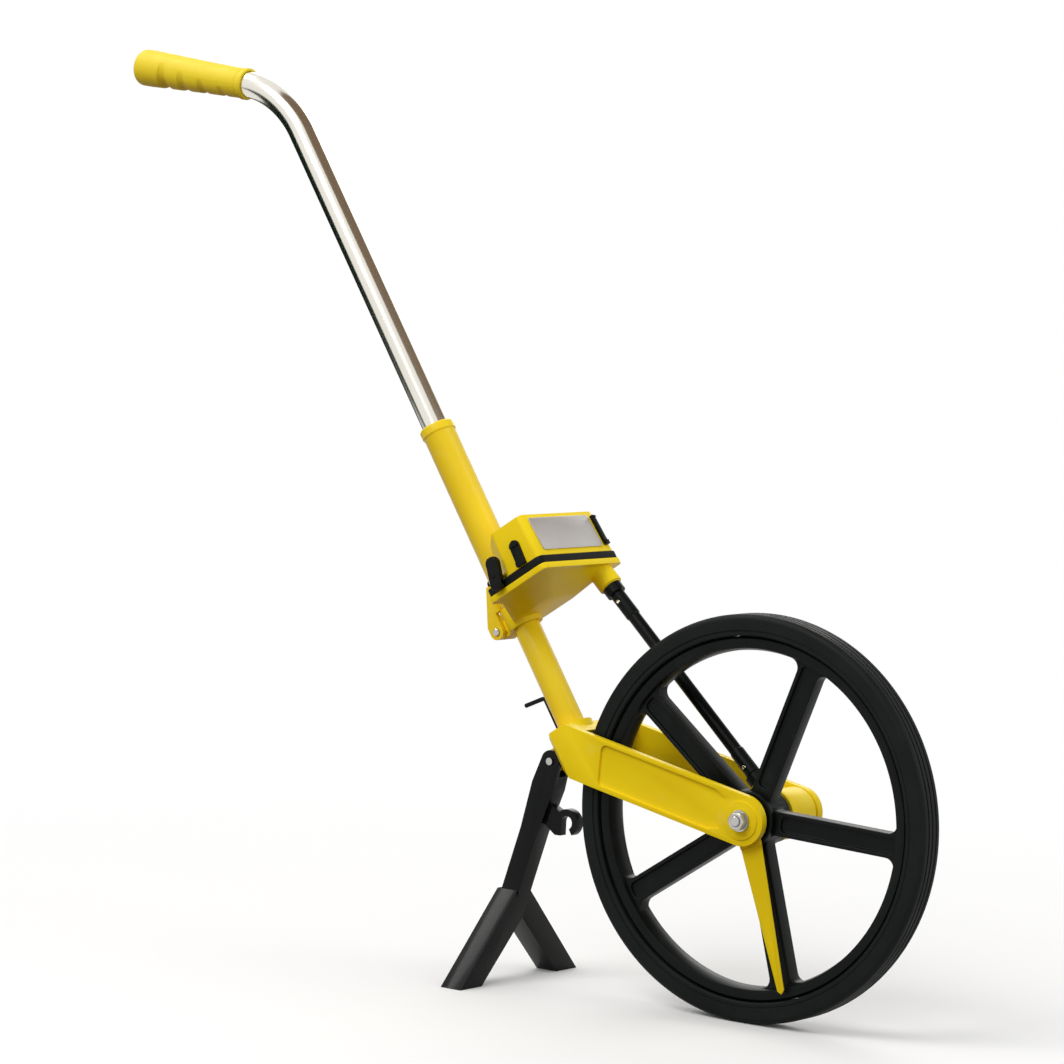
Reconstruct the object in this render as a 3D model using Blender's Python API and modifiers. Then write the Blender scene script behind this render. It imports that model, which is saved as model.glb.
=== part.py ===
"""Measuring wheel on its stand: a one metre wheel in a fork, geared to a drum counter on the column.

Metres, +Z up. +X is the way it is pushed, +Y is its left side, and the origin is the point on
the ground under the axle, in the middle plane of the wheel.
"""

import math

import bmesh
import bpy
from mathutils import Matrix, Vector

MM = 0.001
WELD = 0.001 * MM
CURVE_WELD = 0.005 * MM
SMOOTH_ANGLE = math.radians(35)
BEVEL_ANGLE = math.radians(40)

# Driving dimensions
WHEEL_TRAVEL = 1000 * MM
TYRE_SIDES = 80
COLUMN_BACK = 148.4 * MM
COLUMN_LEFT = 5 * MM
COLUMN_LEAN = math.radians(33.2)
COLUMN_RADIUS = 11 * MM
COLUMN_WALL = 2.2 * MM
GEAR_PLANE = 40 * MM
COUNTER_HEIGHT = 200 * MM
COUNTER_FORWARD = 55 * MM
FIT = 0.3 * MM
OVERRUN = 2 * MM
SINK = 0.5 * MM
ROUND_SIDES = 32
SMALL_SIDES = 20

WHEEL_RADIUS = WHEEL_TRAVEL / math.tau
AXLE_HEIGHT = WHEEL_RADIUS * math.cos(math.pi / TYRE_SIDES)

# Colours, roughness and metallic value of each finish
FINISHES = {
    "yellow": ((0.86, 0.62, 0.02), 0.42, 0.0),
    "grip_yellow": ((0.88, 0.70, 0.03), 0.6, 0.0),
    "black": ((0.012, 0.014, 0.014), 0.5, 0.0),
    "gloss_black": ((0.01, 0.012, 0.012), 0.25, 0.0),
    "rubber": ((0.016, 0.018, 0.017), 0.75, 0.0),
    "chrome": ((0.8, 0.78, 0.74), 0.12, 1.0),
    "steel": ((0.5, 0.5, 0.5), 0.35, 1.0),
    "brass": ((0.6, 0.45, 0.18), 0.35, 1.0),
    "silver_label": ((0.55, 0.54, 0.52), 0.45, 0.3),
    "white": ((0.8, 0.8, 0.78), 0.5, 0.0),
    "red": ((0.6, 0.03, 0.02), 0.5, 0.0),
    "clear": ((0.8, 0.85, 0.85), 0.08, 0.0),
}


# Scene, materials and placing


def clear_scene():
    """Removes what the scene starts with."""
    for thing in list(bpy.data.objects):
        bpy.data.objects.remove(thing, do_unlink=True)


def new_collection(name):
    """Makes a collection in the scene."""
    collection = bpy.data.collections.new(name)
    bpy.context.scene.collection.children.link(collection)
    return collection


def make_material(name, colour, roughness, metallic):
    """Makes one finish as a Principled BSDF."""
    made = bpy.data.materials.new(name)
    made.use_nodes = True
    shader = made.node_tree.nodes["Principled BSDF"]
    shader.inputs["Base Color"].default_value = (*colour, 1.0)
    shader.inputs["Roughness"].default_value = roughness
    shader.inputs["Metallic"].default_value = metallic
    return made


clear_scene()
PARTS = new_collection("measuring_wheel")
CUTTERS = new_collection("cutters")
MATERIALS = {name: make_material(name, *values) for name, values in FINISHES.items()}


def make_empty(name, matrix, parent=None):
    """Makes an empty whose axes carry the pieces of one sub-assembly."""
    empty = bpy.data.objects.new(name, None)
    PARTS.objects.link(empty)
    empty.parent = parent
    empty.matrix_local = matrix
    return empty


def make_object(name, mesh, parent, matrix=None):
    """Makes an object of a mesh in the frame of its parent."""
    made = bpy.data.objects.new(name, mesh)
    made.parent = parent
    made.matrix_local = matrix if matrix is not None else Matrix.Identity(4)
    return made


def finish(piece, material):
    """Puts a piece with the parts and gives it its material and smooth round sides."""
    PARTS.objects.link(piece)
    piece.data.materials.clear()
    piece.data.materials.append(MATERIALS[material])
    if piece.type == "MESH":
        piece.data.shade_smooth()
        piece.data.set_sharp_from_angle(angle=SMOOTH_ANGLE)
    return piece


def add_boolean(piece, tool, operation):
    """Cuts a tool from a piece, or joins it on, and hides the tool."""
    if tool.name not in CUTTERS.objects:
        CUTTERS.objects.link(tool)
    tool.hide_render = True
    tool.display_type = "WIRE"
    modifier = piece.modifiers.new(f"{operation.lower()}_{tool.name}", "BOOLEAN")
    modifier.operation = operation
    modifier.object = tool
    modifier.solver = "EXACT"


def cut(piece, *tools):
    """Cuts each tool from a piece."""
    for tool in tools:
        add_boolean(piece, tool, "DIFFERENCE")


def join(piece, *tools):
    """Joins each tool onto a piece."""
    for tool in tools:
        add_boolean(piece, tool, "UNION")


def add_bevel(piece, width, segments=2, angle=BEVEL_ANGLE):
    """Rounds the sharp edges of a piece."""
    bevel = piece.modifiers.new("rounded_edges", "BEVEL")
    bevel.width = width
    bevel.segments = segments
    bevel.limit_method = "ANGLE"
    bevel.angle_limit = angle


# Shapes


def mesh_of(name, made):
    """Turns a bmesh into a mesh."""
    mesh = bpy.data.meshes.new(name)
    made.to_mesh(mesh)
    made.free()
    return mesh


def box_mesh(name, low, high):
    """A box between two corners."""
    rectangle = (low[0], high[0], low[1], high[1])
    return frustum_mesh(name, rectangle, rectangle, low[2], high[2])


def frustum_mesh(name, bottom, top, bottom_z, top_z):
    """A block whose bottom and top rectangles, each (low x, high x, low y, high y), differ."""
    made = bmesh.new()
    bmesh.ops.create_cube(made)
    for vertex in made.verts:
        rectangle = top if vertex.co.z > 0 else bottom
        vertex.co.x = rectangle[1] if vertex.co.x > 0 else rectangle[0]
        vertex.co.y = rectangle[3] if vertex.co.y > 0 else rectangle[2]
        vertex.co.z = top_z if vertex.co.z > 0 else bottom_z
    return mesh_of(name, made)


def cylinder_mesh(name, radius, low, high, sides=ROUND_SIDES, top_radius=None):
    """A cylinder or cone on the z axis, from low to high."""
    made = bmesh.new()
    bmesh.ops.create_cone(
        made,
        cap_ends=True,
        segments=sides,
        radius1=radius,
        radius2=radius if top_radius is None else top_radius,
        depth=high - low,
    )
    bmesh.ops.translate(made, verts=made.verts, vec=(0, 0, (low + high) / 2))
    return mesh_of(name, made)


def plate_mesh(name, outline, low, high):
    """A flat outline in x and y, with its thickness from low to high in z."""
    curve = bpy.data.curves.new(name, "CURVE")
    curve.dimensions = "2D"
    curve.fill_mode = "BOTH"
    curve.extrude = (high - low) / 2
    spline = curve.splines.new("POLY")
    spline.points.add(len(outline) - 1)
    for point, (x, y) in zip(spline.points, outline):
        point.co = (x, y, 0, 1)
    spline.use_cyclic_u = True
    return curve_to_mesh(name, curve, (0, 0, (low + high) / 2))


def tube_mesh(name, points, radius, resolution=3):
    """A round bar along a list of points."""
    curve = bpy.data.curves.new(name, "CURVE")
    curve.dimensions = "3D"
    curve.bevel_depth = radius
    curve.bevel_resolution = resolution
    curve.use_fill_caps = True
    spline = curve.splines.new("POLY")
    spline.points.add(len(points) - 1)
    for point, place in zip(spline.points, points):
        point.co = (*place, 1)
    return curve_to_mesh(name, curve, (0, 0, 0))


def curve_to_mesh(name, curve, shift):
    """Evaluates a curve, welds its caps to its sides and returns the mesh."""
    holder = bpy.data.objects.new(name + "_curve", curve)
    bpy.context.scene.collection.objects.link(holder)
    graph = bpy.context.evaluated_depsgraph_get()
    mesh = bpy.data.meshes.new_from_object(holder.evaluated_get(graph))
    bpy.data.objects.remove(holder, do_unlink=True)
    bpy.data.curves.remove(curve)
    made = bmesh.new()
    made.from_mesh(mesh)
    bmesh.ops.remove_doubles(made, verts=made.verts, dist=CURVE_WELD)
    bmesh.ops.recalc_face_normals(made, faces=made.faces)
    bmesh.ops.translate(made, verts=made.verts, vec=shift)
    made.to_mesh(mesh)
    made.free()
    return mesh


def turned_object(name, profile, parent, matrix=None, sides=ROUND_SIDES):
    """A closed ring turned about the z axis from (radius, z) points that run down the outer side.

    The profile starts and ends at the same bore radius, and the ring is closed by its own bore wall,
    or on the axis where the bore radius is zero.
    """
    made = bmesh.new()
    ring = list(profile)
    if ring[0][0] > 0:
        ring.append(ring[0])
    rail = [made.verts.new((radius, 0, z)) for radius, z in ring]
    for start, end in zip(rail, rail[1:]):
        made.edges.new((start, end))
    piece = make_object(name, mesh_of(name, made), parent, matrix)
    screw = piece.modifiers.new("turned", "SCREW")
    screw.axis = "Z"
    screw.angle = math.tau
    screw.steps = sides
    screw.render_steps = sides
    screw.use_merge_vertices = True
    screw.merge_threshold = WELD
    screw.use_normal_calculate = False
    weld = piece.modifiers.new("welded", "WELD")
    weld.merge_threshold = WELD
    return piece


def arc(centre, radius, start, end, steps):
    """Points on an arc, both ends included."""
    return [
        (
            centre[0] + radius * math.cos(start + (end - start) * i / steps),
            centre[1] + radius * math.sin(start + (end - start) * i / steps),
        )
        for i in range(steps + 1)
    ]


def turn_x(degrees):
    """A turn about the x axis."""
    return Matrix.Rotation(math.radians(degrees), 4, "X")


def turn_y(radians):
    """A turn about the y axis."""
    return Matrix.Rotation(radians, 4, "Y")


def shift(x=0.0, y=0.0, z=0.0):
    """A move."""
    return Matrix.Translation((x, y, z))


# Frames: every sub-assembly hangs on one of these

# z along the axle, towards the left side
AXLE = make_empty("axle_axis", shift(z=AXLE_HEIGHT) @ turn_x(-90))
# x forward, y up, z towards the right side, for outlines seen from the right
SIDE = make_empty("side_view", shift(z=AXLE_HEIGHT) @ turn_x(90))
# x forward of the column, y left, z up along it, from axle height
COLUMN = make_empty("column_axis", shift(-COLUMN_BACK, COLUMN_LEFT, AXLE_HEIGHT) @ turn_y(-COLUMN_LEAN))
# z towards the right side on the axle, from the bevel gears' common point
HUB_MESH = make_empty("hub_mesh_point", shift(y=GEAR_PLANE, z=AXLE_HEIGHT) @ turn_x(90))


def column_point(forward, up):
    """Where a place on the column's frame lies, as x and height over the axle."""
    sine = math.sin(COLUMN_LEAN)
    cosine = math.cos(COLUMN_LEAN)
    return (
        -COLUMN_BACK + forward * cosine - up * sine,
        forward * sine + up * cosine,
    )


# The drive runs straight from the axle to the axis of the counter drums
COUNTER_X, COUNTER_Z = column_point(COUNTER_FORWARD, COUNTER_HEIGHT)
DRIVE_LENGTH = math.hypot(COUNTER_X, COUNTER_Z)
DRIVE_LEAN = math.atan2(-COUNTER_X, COUNTER_Z)
DRIVE = make_empty("drive_axis", shift(y=GEAR_PLANE, z=AXLE_HEIGHT) @ turn_y(-DRIVE_LEAN))


# Gears

BEVEL_TEETH = 16
BEVEL_RADIUS = 11 * MM
BEVEL_ADDENDUM = 0.9 * MM
BEVEL_DEDENDUM = 1.3 * MM
BEVEL_INNER_SHARE = 0.7
TOOTH_SHARE = 0.36
TIP_SHARE = 0.22


def tooth_outline(teeth, root, tip, phase):
    """Corners round a toothed edge, with the middle of a tooth at the phase angle."""
    pitch = math.tau / teeth
    root_half = pitch * TOOTH_SHARE / 2
    tip_half = pitch * TIP_SHARE / 2
    corners = ((root, -root_half), (tip, -tip_half), (tip, tip_half), (root, root_half))
    points = []
    for tooth in range(teeth):
        middle = phase + tooth * pitch
        points += [
            (radius * math.cos(middle + turn), radius * math.sin(middle + turn)) for radius, turn in corners
        ]
    return points


def bevel_gear(name, parent, matrix, phase, bore, boss_radius, boss_end):
    """A 45 degree bevel gear whose cones meet at the origin of its frame, with its boss behind it."""
    large = tooth_outline(BEVEL_TEETH, BEVEL_RADIUS - BEVEL_DEDENDUM, BEVEL_RADIUS + BEVEL_ADDENDUM, phase)
    made = bmesh.new()
    face = made.faces.new([made.verts.new((x, y, BEVEL_RADIUS)) for x, y in large])
    grown = bmesh.ops.extrude_face_region(made, geom=[face])
    for item in grown["geom"]:
        if isinstance(item, bmesh.types.BMVert):
            item.co *= BEVEL_INNER_SHARE
    bmesh.ops.recalc_face_normals(made, faces=made.faces)
    gear = make_object(name, mesh_of(name, made), parent, matrix)
    boss = make_object(
        name + "_boss",
        cylinder_mesh(name + "_boss", boss_radius, BEVEL_RADIUS - SINK, boss_end, SMALL_SIDES),
        parent,
        matrix,
    )
    start = BEVEL_RADIUS * BEVEL_INNER_SHARE - OVERRUN
    hole = make_object(
        name + "_bore",
        cylinder_mesh(name + "_bore", bore, start, boss_end + OVERRUN, SMALL_SIDES),
        parent,
        matrix,
    )
    join(gear, boss)
    cut(gear, hole)
    return gear


# Wheel

TYRE_WIDTH = 26 * MM
TYRE_DEPTH = 17 * MM
TYRE_TREAD_WIDTH = 16 * MM
RIM_DEPTH = 9.5 * MM
RIM_WIDTH = 20 * MM
RIM_LIP = 2 * MM
SPOKES = 5
SPOKE_START = math.radians(-2.6)
SPOKE_WIDTH = 19 * MM
SPOKE_THICKNESS = 13 * MM
SPOKE_GROOVE_DEPTH = 3 * MM
SPOKE_FLANGE = 4 * MM
HUB_RADIUS = 22 * MM
HUB_RIGHT = 12 * MM
HUB_LEFT = 20 * MM
HUB_RIM = 4 * MM
HUB_DISH = 2.5 * MM
BEARING_RADIUS = 9.5 * MM
BEARING_WIDTH = 8 * MM
AXLE_RADIUS = 4 * MM

TYRE_INNER = WHEEL_RADIUS - TYRE_DEPTH
RIM_OUTER = TYRE_INNER - FIT
RIM_INNER = RIM_OUTER - RIM_DEPTH


def make_tyre():
    """The rubber tyre, with a flat tread and rounded shoulders, one flat of it on the ground."""
    half = TYRE_WIDTH / 2
    tread = TYRE_TREAD_WIDTH / 2
    shoulder = half - tread
    profile = (
        [(TYRE_INNER, half)]
        + [
            (WHEEL_RADIUS - shoulder + x, tread + z)
            for x, z in arc((0, 0), shoulder, math.pi / 2, 0, 3)
        ]
        + [
            (WHEEL_RADIUS - shoulder + x, z - tread)
            for x, z in arc((0, 0), shoulder, 0, -math.pi / 2, 3)
        ]
        + [(TYRE_INNER, -half)]
    )
    flat_down = Matrix.Rotation(math.pi / 2 + math.pi / TYRE_SIDES, 4, "Z")
    return finish(turned_object("tyre", profile, AXLE, flat_down, TYRE_SIDES), "rubber")


def make_wheel_moulding():
    """Rim, five ribbed spokes and hub, moulded in one."""
    rim_half = RIM_WIDTH / 2
    rim = [
        (RIM_INNER, rim_half),
        (RIM_OUTER - RIM_LIP, rim_half),
        (RIM_OUTER, rim_half - RIM_LIP),
        (RIM_OUTER, RIM_LIP - rim_half),
        (RIM_OUTER - RIM_LIP, -rim_half),
        (RIM_INNER, -rim_half),
    ]
    moulding = turned_object("wheel_moulding", rim, AXLE, None, TYRE_SIDES)
    hub = make_object(
        "hub_body", cylinder_mesh("hub_body", HUB_RADIUS, -HUB_RIGHT, HUB_LEFT, ROUND_SIDES), AXLE
    )
    join(moulding, hub)
    half_thickness = SPOKE_THICKNESS / 2
    reach = RIM_INNER + RIM_DEPTH / 2
    groove_half = SPOKE_WIDTH / 2 - SPOKE_FLANGE
    low = (HUB_RADIUS / 2, -SPOKE_WIDTH / 2, -half_thickness)
    high = (reach, SPOKE_WIDTH / 2, half_thickness)
    for index in range(SPOKES):
        spin = Matrix.Rotation(-(SPOKE_START + index * math.tau / SPOKES), 4, "Z")
        join(moulding, make_object(f"spoke_{index + 1}", box_mesh("spoke", low, high), AXLE, spin))
        for side, face in (("right", -half_thickness), ("left", half_thickness)):
            inward = SPOKE_GROOVE_DEPTH if side == "right" else -SPOKE_GROOVE_DEPTH
            outward = -OVERRUN if side == "right" else OVERRUN
            groove = make_object(
                f"spoke_groove_{side}_{index + 1}",
                box_mesh(
                    "spoke_groove",
                    (HUB_RADIUS + SPOKE_FLANGE, -groove_half, min(face + inward, face + outward)),
                    (RIM_INNER - SPOKE_FLANGE, groove_half, max(face + inward, face + outward)),
                ),
                AXLE,
                spin,
            )
            cut(moulding, groove)
    bores = [
        ("axle_bore", AXLE_RADIUS + OVERRUN, -HUB_RIGHT - OVERRUN, HUB_LEFT + OVERRUN),
        ("bearing_bore_right", BEARING_RADIUS + FIT, -HUB_RIGHT - OVERRUN, -HUB_RIGHT + BEARING_WIDTH + FIT),
        ("bearing_bore_left", BEARING_RADIUS + FIT, HUB_LEFT - BEARING_WIDTH - FIT, HUB_LEFT + OVERRUN),
    ]
    for name, radius, low, high in bores:
        cut(moulding, make_object(name, cylinder_mesh(name, radius, low, high, SMALL_SIDES), AXLE))
    dish = turned_object(
        "hub_dish",
        [
            (BEARING_RADIUS + HUB_RIM, -HUB_RIGHT + HUB_DISH),
            (HUB_RADIUS - HUB_RIM, -HUB_RIGHT + HUB_DISH),
            (HUB_RADIUS - HUB_RIM, -HUB_RIGHT - OVERRUN),
            (BEARING_RADIUS + HUB_RIM, -HUB_RIGHT - OVERRUN),
        ],
        AXLE,
    )
    cut(moulding, dish)
    return finish(moulding, "black")


def make_hub_pieces():
    """The two plain bearings in the hub and the bevel gear on its left end."""
    for side, low in (("right", -HUB_RIGHT), ("left", HUB_LEFT - BEARING_WIDTH)):
        bore = AXLE_RADIUS + FIT
        profile = [
            (bore, low + BEARING_WIDTH),
            (BEARING_RADIUS, low + BEARING_WIDTH),
            (BEARING_RADIUS, low),
            (bore, low),
        ]
        finish(turned_object(f"hub_bearing_{side}", profile, AXLE, None, SMALL_SIDES), "steel")
    phase = math.pi / 2 + DRIVE_LEAN
    gear = bevel_gear(
        "hub_gear", HUB_MESH, None, phase, AXLE_RADIUS + FIT, BEARING_RADIUS, GEAR_PLANE - HUB_LEFT - FIT
    )
    finish(gear, "steel")


# Fork, axle and pointer

LEG_RISE = math.radians(11.8)
LEG_RADIUS = 20 * MM
LEG_RIGHT_INNER = 15.6 * MM
LEG_RIGHT_THICKNESS = 6 * MM
LEG_LEFT_INNER = 58 * MM
LEG_LEFT_THICKNESS = 7 * MM
LEG_EDGE = 5 * MM
LEG_RECESS = 1.5 * MM
LEG_BOSS_RADIUS = 15 * MM
LEG_BOSS_RAISE = 0.8 * MM
TYRE_CLEARANCE = 4 * MM
YOKE_BACK = 18 * MM
YOKE_TOP = 60 * MM
YOKE_SOCKET_FLOOR = 42 * MM
YOKE_CORNER_BACK = 12.5 * MM
YOKE_CORNER_SIDE = 15.6 * MM
WASHER_RADIUS = 8.5 * MM
WASHER_THICKNESS = 1.2 * MM
NUT_RADIUS = 7.5 * MM
NUT_THICKNESS = 5 * MM
NUT_SIDES = 6
AXLE_END = 1.5 * MM
POINTER_THICKNESS = 1.6 * MM
POINTER_TIP_RADIUS = 137 * MM
POINTER_LEAN = math.radians(17.3)
POINTER_HUB_RADIUS = 11 * MM
POINTER_ROOT_WIDTH = 20 * MM
POINTER_TIP_WIDTH = 6 * MM
GEAR_BOX_RADIUS = 20 * MM
GEAR_BOX_WALL = 2.5 * MM
GEAR_BOX_BACK = 3.5 * MM
GEAR_BOX_GAP = 1 * MM
NECK_RADIUS = 9 * MM
NECK_END = 32 * MM
SPINDLE_RADIUS = 3 * MM
BUSH_RADIUS = 6 * MM

LEG_RIGHT_OUTER = LEG_RIGHT_INNER + LEG_RIGHT_THICKNESS
LEG_LEFT_OUTER = LEG_LEFT_INNER + LEG_LEFT_THICKNESS
TYRE_ROOM = WHEEL_RADIUS + TYRE_CLEARANCE


def leg_edge_height(x, side):
    """Height of the fork's upper (side 1) or lower (side -1) edge over the axle."""
    return -x * math.tan(LEG_RISE) + side * LEG_RADIUS / math.cos(LEG_RISE)


def fork_outline():
    """The fork seen from the right: rear wall along the column, round end on the axle."""
    back_top = column_point(-YOKE_BACK, YOKE_TOP)
    slope = math.tan(COLUMN_LEAN)
    edge_slope = -math.tan(LEG_RISE)
    top_x = (leg_edge_height(0, 1) - back_top[1] + slope * back_top[0]) / (slope - edge_slope)
    back_slope = -1 / slope
    low_x = (leg_edge_height(0, -1) - back_top[1] + back_slope * back_top[0]) / (back_slope - edge_slope)
    return (
        [(low_x, leg_edge_height(low_x, -1)), back_top, (top_x, leg_edge_height(top_x, 1))]
        + arc((0, 0), LEG_RADIUS, math.pi / 2 - LEG_RISE, -math.pi / 2 - LEG_RISE, 14)
    )


def make_fork():
    """Yoke, thin right leg and left leg, in one casting with the socket for the lower tube."""
    fork = make_object("fork", plate_mesh("fork", fork_outline(), -LEG_LEFT_OUTER, LEG_RIGHT_OUTER), SIDE)
    room = cylinder_mesh("wheel_room", TYRE_ROOM, -LEG_LEFT_INNER, LEG_RIGHT_INNER, TYRE_SIDES)
    corner_high = YOKE_TOP + OVERRUN
    corner_low = -OVERRUN
    tools = [make_object("wheel_room", room, SIDE)]
    for name, side, edge in (
        ("right", -1, LEG_RIGHT_OUTER + COLUMN_LEFT),
        ("left", 1, LEG_LEFT_OUTER - COLUMN_LEFT),
    ):
        outline = [
            (-YOKE_BACK - OVERRUN, side * (edge - YOKE_CORNER_SIDE)),
            (-YOKE_BACK, side * (edge - YOKE_CORNER_SIDE)),
            (-YOKE_BACK + YOKE_CORNER_BACK, side * edge),
            (-YOKE_BACK + YOKE_CORNER_BACK, side * (edge + OVERRUN)),
            (-YOKE_BACK - OVERRUN, side * (edge + OVERRUN)),
        ]
        corner = plate_mesh("yoke_corner", outline, corner_low, corner_high)
        tools.append(make_object(f"yoke_corner_{name}", corner, COLUMN))
    socket = cylinder_mesh("lower_tube_socket", COLUMN_RADIUS + FIT, YOKE_SOCKET_FLOOR, YOKE_TOP + LEG_RADIUS)
    tools.append(make_object("lower_tube_socket", socket, COLUMN))
    far = LEG_RIGHT_OUTER + LEG_BOSS_RAISE
    holes = cylinder_mesh(
        "axle_holes", AXLE_RADIUS + FIT, -LEG_LEFT_OUTER - OVERRUN, far + OVERRUN, SMALL_SIDES
    )
    tools.append(make_object("axle_holes", holes, SIDE))
    lean = Matrix.Rotation(-LEG_RISE, 4, "Z")
    inner = LEG_RADIUS + LEG_EDGE
    recess_start = column_point(0, YOKE_SOCKET_FLOOR)[0] + inner
    recess_low = (recess_start, LEG_EDGE - LEG_RADIUS, LEG_RIGHT_OUTER - LEG_RECESS)
    recess_high = (-inner, LEG_RADIUS - LEG_EDGE, LEG_RIGHT_OUTER + OVERRUN)
    tools.append(make_object("leg_recess", box_mesh("leg_recess", recess_low, recess_high), SIDE, lean))
    boss = cylinder_mesh("leg_boss", LEG_BOSS_RADIUS, LEG_RIGHT_OUTER - SINK, far)
    join(fork, make_object("leg_boss", boss, SIDE), stand_lug())
    cut(fork, *tools)
    cut(fork, stand_pin_hole())
    return finish(fork, "yellow")


def make_axle_pieces():
    """The axle rod, its washers and nuts, the spacer in the hub's mouth and the zero pointer."""
    right_face = LEG_RIGHT_OUTER + LEG_BOSS_RAISE
    right_end = right_face + 3 * FIT + WASHER_THICKNESS + NUT_THICKNESS + AXLE_END
    left_end = LEG_LEFT_OUTER + 3 * FIT + WASHER_THICKNESS + NUT_THICKNESS + AXLE_END
    axle = make_object("axle", cylinder_mesh("axle", AXLE_RADIUS, -right_end, left_end, SMALL_SIDES), AXLE)
    finish(axle, "steel")
    bore = AXLE_RADIUS + FIT
    for side, face, way in (("right", -right_face, -1), ("left", LEG_LEFT_OUTER, 1)):
        start = face + way * FIT
        end = start + way * WASHER_THICKNESS
        high, low = max(start, end), min(start, end)
        washer = [(bore, high), (WASHER_RADIUS, high), (WASHER_RADIUS, low), (bore, low)]
        finish(turned_object(f"axle_washer_{side}", washer, AXLE, None, SMALL_SIDES), "steel")
        start = end + way * FIT
        end = start + way * NUT_THICKNESS
        high, low = max(start, end), min(start, end)
        name = f"axle_nut_{side}"
        nut = make_object(name, cylinder_mesh(name, NUT_RADIUS, low, high, NUT_SIDES), AXLE)
        name = f"nut_bore_{side}"
        hole = cylinder_mesh(name, bore, low - OVERRUN, high + OVERRUN, SMALL_SIDES)
        cut(nut, make_object(name, hole, AXLE))
        finish(nut, "chrome")


def make_pointer():
    """The arm that hangs from the axle and marks the place on the ground."""
    near = LEG_RIGHT_INNER - FIT
    far = near - POINTER_THICKNESS
    half_root = POINTER_ROOT_WIDTH / 2
    half_tip = POINTER_TIP_WIDTH / 2
    down = Matrix.Rotation(POINTER_LEAN, 4, "Z")
    outline = [
        (-half_tip, half_tip - POINTER_TIP_RADIUS),
        (0, -POINTER_TIP_RADIUS),
        (half_tip, half_tip - POINTER_TIP_RADIUS),
        (half_root, -LEG_RADIUS),
    ] + arc((0, 0), POINTER_HUB_RADIUS, 0, math.pi, 12) + [(-half_root, -LEG_RADIUS)]
    pointer = make_object("pointer", plate_mesh("pointer", outline, far, near), SIDE, down)
    hole = cylinder_mesh("pointer_hole", AXLE_RADIUS + FIT, far - OVERRUN, near + OVERRUN, SMALL_SIDES)
    cut(pointer, make_object("pointer_hole", hole, SIDE, down))
    finish(pointer, "yellow")
    high = -HUB_RIGHT - FIT
    low = -far + FIT
    bore = AXLE_RADIUS + FIT
    spacer = [(bore, high), (WASHER_RADIUS, high), (WASHER_RADIUS, low), (bore, low)]
    finish(turned_object("pointer_spacer", spacer, AXLE, None, SMALL_SIDES), "steel")


def make_gear_box():
    """The cup on the left leg that covers the bevel gears, with the neck for the drive spindle."""
    mouth = HUB_LEFT + GEAR_BOX_GAP
    back = LEG_LEFT_INNER - FIT
    profile = [
        (AXLE_RADIUS + FIT, back),
        (GEAR_BOX_RADIUS, back),
        (GEAR_BOX_RADIUS, mouth),
        (AXLE_RADIUS + FIT, mouth),
    ]
    box = turned_object("gear_box", profile, AXLE)
    room = GEAR_BOX_RADIUS - GEAR_BOX_WALL
    neck = cylinder_mesh("gear_box_neck", NECK_RADIUS, room, NECK_END)
    inside = cylinder_mesh("gear_box_inside", room, mouth - OVERRUN, back - GEAR_BOX_BACK)
    bore = cylinder_mesh("gear_box_bore", BUSH_RADIUS + FIT, BEVEL_RADIUS, NECK_END + OVERRUN, SMALL_SIDES)
    join(box, make_object("gear_box_neck", neck, DRIVE))
    cut(box, make_object("gear_box_inside", inside, AXLE), make_object("gear_box_bore", bore, DRIVE))
    finish(box, "yellow")


# Drive from the hub to the counter

DRIVE_ROD_RADIUS = 6 * MM
DRIVE_ROD_START = 41 * MM
DRIVE_ROD_TO_DRUMS = 58.64 * MM
BUSH_FLANGE_RADIUS = 8.2 * MM
BUSH_FLANGE = 8 * MM
SOCKET_DEPTH = 15 * MM
DRIVE_PIN_RADIUS = 1.6 * MM
DRIVE_PIN_PROUD = 1.2 * MM
PINION_BOSS_RADIUS = 5.5 * MM
PINION_BOSS_END = 18.5 * MM
LOWER_BUSH_START = 20 * MM
DRIVE_ROD_END = DRIVE_LENGTH - DRIVE_ROD_TO_DRUMS
BOSS_END = BUSH_FLANGE + DRIVE_ROD_END + 2 * FIT
UPPER_BUSH_LENGTH = 24 * MM


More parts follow.
